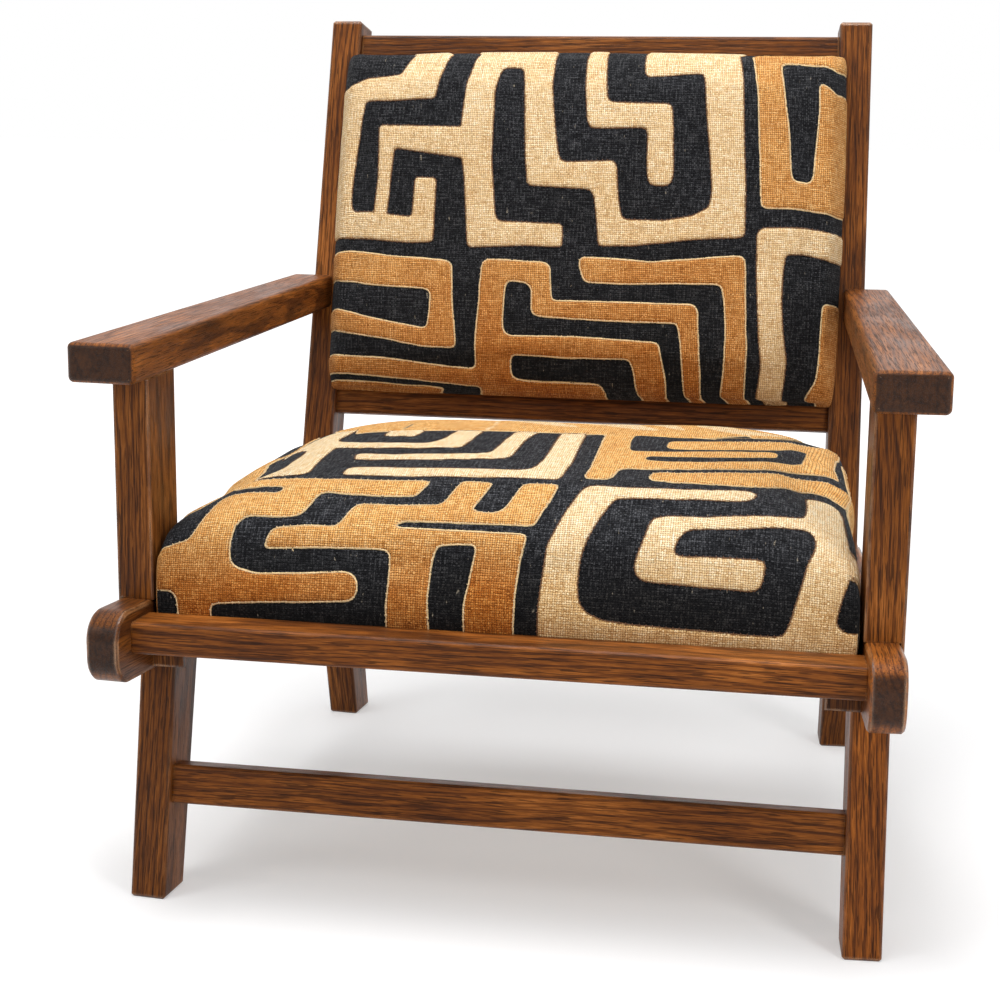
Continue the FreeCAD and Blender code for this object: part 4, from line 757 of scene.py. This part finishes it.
# %% A box of cloth
def cloth_box(name, counts, place, measure):
    """A closed shell of squares, with the share (s, r, h) of every point.
    place(s, r, h) gives its points, measure(panel, s, r, h) the spot on the flat cloth.
    Panels: s0 s1 are the sides, r0 r1 front and back (or foot and head), h0 h1 bottom and top."""
    ns, nr, nh = counts
    index, shares, faces, labels, table = {}, [], [], [], []

    def corner(spot):
        if spot not in index:
            index[spot] = len(shares)
            shares.append(tuple(c / n for c, n in zip(spot, counts)))
        return index[spot]

    def panel(label, first, second, at, flip):
        for a in range(first):
            for b in range(second):
                ring = [at(a, b), at(a + 1, b), at(a + 1, b + 1), at(a, b + 1)]
                ring = ring[::-1] if flip else ring
                faces.append([corner(c) for c in ring])
                labels.extend([label] * 4)
                table.extend(shares[k] for k in faces[-1])

    panel("h1", ns, nr, lambda a, b: (a, b, nh), False)
    panel("h0", ns, nr, lambda a, b: (a, b, 0), True)
    panel("r0", ns, nh, lambda a, b: (a, 0, b), False)
    panel("r1", ns, nh, lambda a, b: (a, nr, b), True)
    panel("s0", nr, nh, lambda a, b: (0, a, b), True)
    panel("s1", nr, nh, lambda a, b: (ns, a, b), False)
    shares, labels, table = np.array(shares), np.array(labels), np.array(table)
    mesh = bpy.data.meshes.new(name)
    mesh.from_pydata(place(*shares.T).tolist(), [], faces)
    flat = np.zeros((len(table), 2))
    for label in np.unique(labels):
        flat[labels == label] = measure(label, *table[labels == label].T)
    mesh.uv_layers.new(name="cloth").data.foreach_set("uv", flat.ravel())
    mesh.polygons.foreach_set("use_smooth", [True] * len(faces))
    return placed(name, mesh), shares


def points_of(piece):
    return numbers(piece.data.vertices, "co", 3)


def set_points(piece, points):
    piece.data.vertices.foreach_set("co", np.asarray(points).ravel())
    piece.data.update()


def finished_mesh(piece):
    """The piece's mesh as its modifiers leave it."""
    settled = piece.evaluated_get(bpy.context.evaluated_depsgraph_get())
    return bpy.data.meshes.new_from_object(settled)


# %% [markdown]
# The stuffing presses the cover outwards until the cloth is tight. Blender's cloth does this with
# a little air pressure and no gravity. The bottom is held where it rests, the rest may move, but
# no point further than a few millimetres, because the chair's rails leave no more room. The edges
# are relaxed first: a sewn edge of a stuffed cover is round, not sharp.

# %% Relaxing edges and letting the stuffing press
def relaxed(piece, points, free, turns):
    """Moves each free point part of the way to the middle of its neighbours, again and again."""
    ends = numbers(piece.data.edges, "vertices", 2, int)
    count = np.bincount(ends.ravel(), minlength=len(points))[:, None]
    for _ in range(turns):
        total = np.zeros_like(points)
        np.add.at(total, ends[:, 0], points[ends[:, 1]])
        np.add.at(total, ends[:, 1], points[ends[:, 0]])
        points = points + (total / count - points) * 0.5 * free[:, None]
    return points


def round_edges(piece, shares, counts, reach, turns):
    """Relaxes the sewn edge round the top, less and less up to so many squares away from it."""
    down = np.minimum(np.abs(shares[:, 2] - 1) * counts[2], reach)
    inward = (np.minimum(shares, 1 - shares) * counts)[:, :2].min(1)
    loose = np.where(shares[:, 2] == 0, 0, np.clip(1 - (down + inward) / reach, 0, 1))
    set_points(piece, relaxed(piece, points_of(piece), loose, turns))


def stuffed(piece, held, pressure, cap, frames=20):
    """Runs the cloth from frame 1, then keeps the result within the cap."""
    start = points_of(piece).copy()
    group = piece.vertex_groups.new(name="held")
    group.add([int(v) for v in np.where(held)[0]], 1.0, "REPLACE")
    modifier = piece.modifiers.new("cloth", "CLOTH")
    settings = modifier.settings
    settings.quality = 6
    settings.mass = 0.3
    settings.tension_stiffness = settings.compression_stiffness = 18
    settings.shear_stiffness = 8
    settings.bending_stiffness = 0.6
    settings.use_pressure = True
    settings.uniform_pressure_force = pressure
    settings.vertex_group_mass = "held"
    settings.effector_weights.gravity = 0
    modifier.collision_settings.use_collision = False
    modifier.point_cache.frame_start = 1
    modifier.point_cache.frame_end = frames
    for number in range(1, frames + 1):
        scene.frame_set(number)
    move = numbers(finished_mesh(piece).vertices, "co", 3) - start
    move = relaxed(piece, move, np.where(held, 0, 1), turns=14)
    far = np.linalg.norm(move, axis=1)[:, None]
    piece.modifiers.remove(modifier)
    piece.vertex_groups.clear()
    scene.frame_set(1)
    set_points(piece, start + move * np.minimum(1, cap / np.maximum(far, 1e-9)))
    print(piece.name, "pressed out by up to", round(float(min(far.max(), cap)) * 1000, 1), "mm")


def refined(piece):
    """One subdivision, made part of the mesh."""
    modifier = piece.modifiers.new("finer", "SUBSURF")
    modifier.levels = modifier.render_levels = 1
    modifier.uv_smooth = "NONE"
    finer = finished_mesh(piece)
    piece.modifiers.remove(modifier)
    piece.data = finer


# %% [markdown]
# The finished cover keeps the distances to its patches, and its share of faded and lit cloth,
# partly sun fading and partly painted light, at every corner of every face. Past the span that the
# camera sees, both run on unchanged over the sides. A patch is a second layer of cloth, so it also
# stands a little higher, in the mesh itself.

# %% Patches on a cover
PATCH_RISE, HEM_WIDTH, GROOVE_WIDTH = 0.0010, 0.003, 0.0018


def store_patches(piece, low, high, fade_and_light, cream, ochre, dark=(), faded=()):
    flat = np.clip(numbers(piece.data.uv_layers["cloth"].data, "uv", 2), low, high)
    # Share of faded and lit cloth along the cloth: partly sun fading, partly painted light.
    stored = piece.data.attributes.new("fade_and_light", "FLOAT", "CORNER")
    stored.data.foreach_set("value", np.interp(flat[:, 1], *fade_and_light).astype("f"))
    spots, back = np.unique(flat.round(5), axis=0, return_inverse=True)
    for name, outlines in (("to_cream", cream), ("to_ochre", ochre), ("to_dark", dark),
                           ("to_faded", faded)):
        stored = piece.data.attributes.new(name, "FLOAT", "CORNER")
        far = distance_to_patches(spots, outlines)[back.ravel()]
        stored.data.foreach_set("value", far.astype("f"))


def raise_patches(piece, height):
    """Lifts each patch, and presses a groove where it is sewn down."""
    mesh = piece.data
    corners = numbers(mesh.loops, "vertex_index", kind=int)
    nearest = np.full(len(mesh.loops), FAR)
    for name in ("to_cream", "to_ochre"):
        nearest = np.minimum(nearest, numbers(mesh.attributes[name].data, "value"))
    count = np.maximum(np.bincount(corners, minlength=len(mesh.vertices)), 1)
    nearest = np.bincount(corners, nearest, len(mesh.vertices)) / count
    normals = numbers(mesh.vertices, "normal", 3)
    inside = np.clip((0.0004 - nearest) / HEM_WIDTH, 0, 1)
    groove = 0.5 * height * np.exp(-(nearest / GROOVE_WIDTH) ** 2)
    lift = height * inside ** 2 * (3 - 2 * inside) - groove
    set_points(piece, points_of(piece) + normals * lift[:, None])


def compare(piece, low, high):
    mine = points_of(piece)
    print(piece.name, "solid", [round(c, 4) for c in (*low, *high)], "cover",
          mine.min(0).round(4), mine.max(0).round(4), "faces", len(piece.data.polygons))


# %% [markdown]
# The seat cushion lies on its board between the side rails. It is low and square in front, where
# it meets the front rail, rises fast behind it, is fullest past the middle and rolls down at the
# back. The chair is wider in front, so the cushion narrows to the rear. Years of use have pressed
# its left side lower than its right.

# %% Seat cushion: its shape
HALF_WIDTH, HALF_DEPTH, RAIL = 0.337, 0.33089, 0.0293
TOE = math.radians(4.4)
SEAT_FRONT, SEAT_BACK, BOARD_TOP = -0.26659, 0.09411, 0.252
SEAT_EDGE, SEAT_CROWN, SEAT_GAP, SEAT_TUCK = 0.109, 0.030, 0.003, 0.006
SEAT_WORN, SEAT_FULL, SEAT_SWELL = 0.015, 0.007, 0.004
SEAT_SQUARES = (98, 68, 12)
# share of the way back, height of the edge, height of the crown
SEAT_STATIONS = np.array([(0, .50, .25), (.025, .68, .50), (.09, .80, .80), (.22, .90, .97),
                          (.38, .96, 1.03), (.54, 1, 1.05), (.70, 1.03, 1.0), (.85, 1.04, .91),
                          (.96, .97, .72), (1, .74, .50)])


def seat_wall(y):
    """Half the room between the side rails at this depth."""
    return HALF_WIDTH - RAIL / math.cos(TOE) - math.tan(TOE) * (y + HALF_DEPTH)


def seat_height(x, y):
    """Height of the cushion's top above the floor."""
    share = (y - SEAT_FRONT) / (SEAT_BACK - SEAT_FRONT)
    edge = eased(share, SEAT_STATIONS[:, 0], SEAT_STATIONS[:, 1]) * SEAT_EDGE
    crown = eased(share, SEAT_STATIONS[:, 0], SEAT_STATIONS[:, 2]) * SEAT_CROWN
    side = np.clip(x / (seat_wall(y) - SEAT_GAP), -1, 1)
    worn = SEAT_WORN * np.clip(-side, 0, 1) ** 2 * part(share, 0.06, 0.24)
    full = SEAT_FULL * np.clip(side, 0, 1) ** 2 * part(share, 0.35, 0.3)
    return BOARD_TOP + edge - worn + full + crown * (1 - np.abs(side) ** 5)


depths = np.linspace(SEAT_FRONT, SEAT_BACK, 1500)
heights = seat_height(np.zeros(1500), depths)
FRONT_RISE = float(heights[0] - BOARD_TOP)
travel = FRONT_RISE + np.concatenate([[0], np.cumsum(np.hypot(np.diff(depths), np.diff(heights)))])
print("cloth over the middle of the seat:", round(float(travel[-1]), 4), "m")


def seat_place(s, r, h):
    y = np.interp(FRONT_RISE + r * (travel[-1] - FRONT_RISE), travel, depths)
    wall = seat_wall(y)
    half = wall - SEAT_TUCK + (SEAT_TUCK - SEAT_GAP) * np.sin(math.pi / 2 * h)
    x = (2 * s - 1) * half
    z = BOARD_TOP + h * (seat_height((2 * s - 1) * (wall - SEAT_GAP), y) - BOARD_TOP)
    swell = np.sin(math.pi * np.clip(h, 0, 1)) * (1 - (2 * s - 1) ** 4)
    y = y - (r == 0) * SEAT_SWELL * swell + (r == 1) * SEAT_SWELL * swell
    return np.stack([x, y, z], 1)


def seat_measure(panel, s, r, h):
    path = FRONT_RISE + r * (travel[-1] - FRONT_RISE)
    half = seat_wall(np.interp(path, travel, depths)) - SEAT_GAP
    x = (2 * s - 1) * half
    if panel == "r0":
        path = h * FRONT_RISE
    elif panel == "r1":
        path = path + (1 - h) * 0.08
    elif panel in ("s0", "s1"):
        x = x + np.sign(x) * (1 - h) * 0.10
    return np.stack([x, path], 1)


# %% [markdown]
# Above the side rails and behind the arm posts nothing holds the cushion in, so there it bulges a
# little over the rails.

# %% Seat cushion: made
BULGE, RAIL_PLAY, BULGE_PLAY, BOARD_PLAY = 0.006, 0.0010, 0.008, 0.0004
RAIL_CLEAR, BEHIND_POST, BEFORE_END = 0.322, -0.13, 0.085
SEAT_HOLD = seat_wall(SEAT_FRONT) - 0.013
# Painted light with sun fading: the seat's front face keeps the fresh, shaded cloth, and its top
# gets the faded, lit cloth.
SEAT_FADE_AND_LIGHT = (0.045, 0.07, 0.10, 0.16), (0.0, 0.32, 0.80, 1.0)

seat, seat_shares = cloth_box("seat_cushion_cover", SEAT_SQUARES, seat_place, seat_measure)
round_edges(seat, seat_shares, SEAT_SQUARES, reach=6, turns=4)
low_back = (seat_shares[:, 1] == 1) & (seat_shares[:, 2] < 0.5)
stuffed(seat, (seat_shares[:, 2] == 0) | low_back, pressure=3.0, cap=0.004)
points = points_of(seat)
over_rail = part(points[:, 2], RAIL_CLEAR, 0.012) * part(points[:, 1], BEHIND_POST, 0.03)
near_wall = (np.abs(points[:, 0]) > 0.25) * np.clip((BEFORE_END - points[:, 1]) / 0.03, 0, 1)
points[:, 0] += np.sign(points[:, 0]) * over_rail * BULGE * near_wall
limit = seat_wall(points[:, 1]) - RAIL_PLAY + over_rail * BULGE_PLAY
points[:, 0] = np.clip(points[:, 0], -limit, limit)
points[:, 2] = np.maximum(points[:, 2], BOARD_TOP + BOARD_PLAY)
set_points(seat, points)
refined(seat)
store_patches(seat, (-SEAT_HOLD, 0.004), (SEAT_HOLD, 0.47), SEAT_FADE_AND_LIGHT,
              SEAT_CREAM, SEAT_OCHRE, SEAT_DARK, SEAT_FADED)
raise_patches(seat, PATCH_RISE)
seat.data.materials.append(CLOTH)
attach(seat, "root")
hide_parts("seat_cushion")
compare(seat, *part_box("seat_cushion"))

# %% [markdown]
# The back pad is thinner. It stands on the sloping plywood panel between the back posts, so it is
# made lying flat in its own measures, across, up and out from the panel, and then tipped to the
# slope.

# %% Back pad: its shape
SLOPE_FOOT = 0.087488
PAD_FOOT, PAD_TOP, PAD_HALF = 0.409, 0.7695, 0.2650
PAD_BACK, PAD_EDGE, PAD_CROWN = 0.0013, 0.042, 0.014
PAD_SQUARES = (106, 73, 8)
# share of the way up, height of the edge, height of the crown, share of the width
PAD_STATIONS = np.array([(0, .50, .25, .985), (.03, .82, .60, .995), (.12, .96, .88, 1),
                         (.28, 1, .97, 1), (.5, 1, 1, 1), (.73, 1, .97, .997),
                         (.88, .96, .88, .994), (.97, .82, .60, .988), (1, .52, .25, .978)])


def on_slope(x, up, out):
    """From the pad's own measures to the chair's: up the slope, and out in front of it."""
    y = SLOPE_FOOT + up * math.sin(LEAN) - out * math.cos(LEAN)
    z = up * math.cos(LEAN) + out * math.sin(LEAN)
    return np.stack([x, y, z], 1)


def pad_place(s, r, h):
    edge, crown, wide = (eased(r, PAD_STATIONS[:, 0], PAD_STATIONS[:, k]) for k in (1, 2, 3))
    across = 2 * s - 1
    out = edge * PAD_EDGE + crown * PAD_CROWN * (1 - across ** 2)
    x = across * (PAD_HALF * wide - 0.009 * h ** 2 + 0.003 * np.sin(math.pi * h))
    return on_slope(x, PAD_FOOT + r * (PAD_TOP - PAD_FOOT), PAD_BACK + h * out)


def pad_measure(panel, s, r, h):
    x = (2 * s - 1) * (PAD_HALF - 0.004)
    up = PAD_FOOT + r * (PAD_TOP - PAD_FOOT)
    if panel in ("s0", "s1"):
        x = x + np.sign(x) * (1 - h) * 0.045
    elif panel == "r0":
        up = up - (1 - h) * 0.02
    elif panel == "r1":
        up = up + (1 - h) * 0.02
    return np.stack([x, up], 1)


# %% Back pad: made
# Painted light with sun fading: the pad is darker low down and lighter towards the top.
PAD_FADE_AND_LIGHT = (0.42, 0.54, 0.70), (0.14, 0.40, 0.60)

pad, pad_shares = cloth_box("back_pad_cover", PAD_SQUARES, pad_place, pad_measure)
round_edges(pad, pad_shares, PAD_SQUARES, reach=5, turns=3)
stuffed(pad, pad_shares[:, 2] == 0, pressure=2.5, cap=0.004)
refined(pad)
store_patches(pad, (-0.268, 0.406), (0.268, 0.769), PAD_FADE_AND_LIGHT, BACK_CREAM, BACK_OCHRE)
raise_patches(pad, PATCH_RISE)
pad.data.materials.append(CLOTH)
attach(pad, "root")
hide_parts("back_pad")
compare(pad, *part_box("back_pad"))

# %% [markdown]
# Every patch is held down by a couched thread: a thicker thread is laid along the edge, and a
# thinner one crosses it again and again and ties it to the ground cloth. The edge has to be found
# on the finished, stuffed cover. Each square of the cover knows where it was on the flat cloth, so
# a point of an outline is looked up there and carried to the same place on the cover.

# %% Patch edges on the finished covers
EDGE_STEP, REACH, LIFT = 0.003, 0.0015, 0.0002
COVERED = -0.0004


def edges_on_cover(piece, outlines, low, high, shown):
    """Lines of points along the outlines, as an object of bare edges lying on the cover."""
    mesh = piece.data
    flat = numbers(mesh.uv_layers["cloth"].data, "uv", 2)
    flat = np.column_stack([flat, np.zeros(len(flat))])
    turns = [list(p.loop_indices) for p in mesh.polygons if p.normal.dot(shown) > 0.03]
    search = BVHTree.FromPolygons([tuple(c) for c in flat], turns)
    points, outward, pairs = [], [], []
    for number, outline in enumerate(outlines):
        edge = hemmed(outline)
        spots = []
        for start, end in zip(edge, np.roll(edge, -1, 0)):
            steps = max(1, round(float(np.hypot(*(end - start))) / EDGE_STEP))
            spots.extend(start + (end - start) * step / steps for step in range(steps))
        spots = np.array(spots)
        covered = distance_to_patches(spots, outlines[:number] + outlines[number + 1:]) < COVERED
        joined = False
        for spot, under in zip(spots, covered):
            at, _, face, _ = search.find_nearest((spot[0], spot[1], 0), REACH)
            on_view = low[0] < spot[0] < high[0] and low[1] < spot[1] < high[1]
            if at is None or under or not on_view:
                joined = False
                continue
            shares = poly_3d_calc([Vector(flat[k]) for k in turns[face]], at)
            held = [mesh.vertices[mesh.loops[k].vertex_index] for k in turns[face]]
            out = sum((v.normal * w for v, w in zip(held, shares)), Vector()).normalized()
            points.append(sum((v.co * w for v, w in zip(held, shares)), Vector()) + LIFT * out)
            outward.append(out)
            if joined:
                pairs.append((len(points) - 2, len(points) - 1))
            joined = True
    lines = bpy.data.meshes.new(piece.name + "_edges")
    lines.from_pydata([tuple(p) for p in points], pairs, [])
    kept = lines.attributes.new("outward", "FLOAT_VECTOR", "POINT")
    kept.data.foreach_set("vector", np.array(outward, "f").ravel())
    return placed(piece.name + "_edges", lines)


# %% [markdown]
# The stitching repeats along those lines, which is work for Geometry Nodes: the lines become
# curves, a round thread is swept along them, and a small tying stitch is set across it at even
# steps, each turned a little differently, as a hand would. The tree ends in one plain mesh.

# %% Stitching tree
THREAD_STEP, SLANT = 0.0028, 0.35


def stitching_tree():
    tree = bpy.data.node_groups.new("couched thread", "GeometryNodeTree")
    for name, kind in (("Geometry", "Geometry"), ("Thread radius", "Float"),
                       ("Stitch spacing", "Float"), ("Stitch length", "Float"),
                       ("Thread", "Material")):
        tree.interface.new_socket(name, in_out="INPUT", socket_type="NodeSocket" + kind)
    tree.interface.new_socket("Geometry", in_out="OUTPUT", socket_type="NodeSocketGeometry")

    def geometry(kind, inputs=None, **settings):
        return new_node(tree, "GeometryNode" + kind, inputs, **settings).outputs[0]

    def vector(operation, inputs):
        return new_node(tree, "ShaderNodeVectorMath", inputs, operation=operation).outputs[0]

    given = new_node(tree, "NodeGroupInput").outputs
    radius = given["Thread radius"]
    curves = geometry("MeshToCurve", {0: given["Geometry"]})
    fine = geometry("ResampleCurve", {"Curve": curves, "Length": THREAD_STEP}, mode="LENGTH")
    ring = geometry("CurvePrimitiveCircle", {"Resolution": 5, "Radius": radius}, mode="RADIUS")
    laid = geometry("CurveToMesh", {"Curve": fine, "Profile Curve": ring})

    spaced = geometry("ResampleCurve", {"Curve": curves, "Length": given["Stitch spacing"]},
                      mode="LENGTH")
    outward = geometry("InputNamedAttribute", {"Name": "outward"}, data_type="FLOAT_VECTOR")
    raised = vector("SCALE", {0: outward, "Scale": radius})
    spaced = geometry("SetPosition", {"Geometry": spaced, "Offset": raised})
    across = vector("CROSS_PRODUCT", {0: geometry("InputTangent"), 1: outward})
    stitch = geometry("MeshCylinder", {"Vertices": 5, "Radius": radius,
                                       "Depth": given["Stitch length"]})
    slant = new_node(tree, "FunctionNodeRandomValue", {"Min": (-SLANT,) * 3, "Max": (SLANT,) * 3,
                                                       "Seed": 7}, data_type="FLOAT_VECTOR")
    lean = vector("ADD", {0: across, 1: slant.outputs[0]})
    turn = new_node(tree, "FunctionNodeAlignRotationToVector", {"Vector": lean}, axis="Z")
    ties = geometry("InstanceOnPoints", {"Points": spaced, "Instance": stitch,
                                         "Rotation": turn.outputs[0]})

    both = new_node(tree, "GeometryNodeJoinGeometry")
    tree.links.new(ties, both.inputs[0])
    tree.links.new(laid, both.inputs[0])
    plain = geometry("RealizeInstances", {0: both.outputs[0]})
    coated = geometry("SetMaterial", {"Geometry": plain, "Material": given["Thread"]})
    new_node(tree, "NodeGroupOutput", {0: coated})
    return tree


STITCHING = stitching_tree()
print("stitching tree has", len(STITCHING.nodes), "nodes")


def stitched(name, lines, radius, spacing, length, thread):
    """Runs the tree on the lines and keeps the result as a plain mesh."""
    modifier = lines.modifiers.new("stitching", "NODES")
    modifier.node_group = STITCHING
    sockets = {i.name: i.identifier for i in STITCHING.interface.items_tree if i.in_out == "INPUT"}
    for socket, value in (("Thread radius", radius), ("Stitch spacing", spacing),
                          ("Stitch length", length), ("Thread", thread)):
        modifier[sockets[socket]] = value
    mesh = finished_mesh(lines)
    bpy.data.objects.remove(lines)
    mesh.name = name
    mesh.polygons.foreach_set("use_smooth", [True] * len(mesh.polygons))
    piece = placed(name, mesh)
    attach(piece, "root")
    print(name, len(mesh.polygons), "faces")


# %% [markdown]
# The threads are twisted raffia: pale round the ochre patches, brown round the cream ones. Fine
# noise gives the fibres their streaks, and a soft sheen catches the light.

# %% Threads
def raffia_thread(name, shade, light):
    thread = material(name)
    fibre = thread.noise(thread.node("TexCoord").outputs["Object"], 1900.0, 2.0)
    thread.give(Base_Color=thread.colours(fibre, [(0.35, shade), (0.65, light)]),
                Roughness=thread.ramp(fibre, 0.3, 0.7, 0.85, 0.62), Sheen_Weight=0.08)
    thread.bump(fibre, 0.5, 0.0002)
    return thread.owner


PALE = raffia_thread("pale raffia thread", (206, 166, 112), (246, 222, 178))
BROWN = raffia_thread("brown raffia thread", (66, 40, 20), (128, 84, 46))
# radius of the thread, spacing and length of its ties, and its looks
ROUND_OCHRE, ROUND_CREAM = (0.00034, 0.006, 0.0022, PALE), (0.00026, 0.0055, 0.0024, BROWN)
# lowest and highest spot on the cloth that is stitched, and the way the shown side faces
ON_SEAT = ((0.002 - SEAT_HOLD, 0.004), (SEAT_HOLD - 0.002, 0.44), Vector((0, -0.6, 0.8)))
ON_BACK = ((-0.258, 0.412), (0.258, 0.766), Vector((0, -math.cos(LEAN), math.sin(LEAN))))
stitched("seat_ochre_edging", edges_on_cover(seat, SEAT_OCHRE, *ON_SEAT), *ROUND_OCHRE)
stitched("seat_cream_edging", edges_on_cover(seat, SEAT_CREAM, *ON_SEAT), *ROUND_CREAM)
stitched("back_ochre_edging", edges_on_cover(pad, BACK_OCHRE, *ON_BACK), *ROUND_OCHRE)
stitched("back_cream_edging", edges_on_cover(pad, BACK_CREAM, *ON_BACK), *ROUND_CREAM)
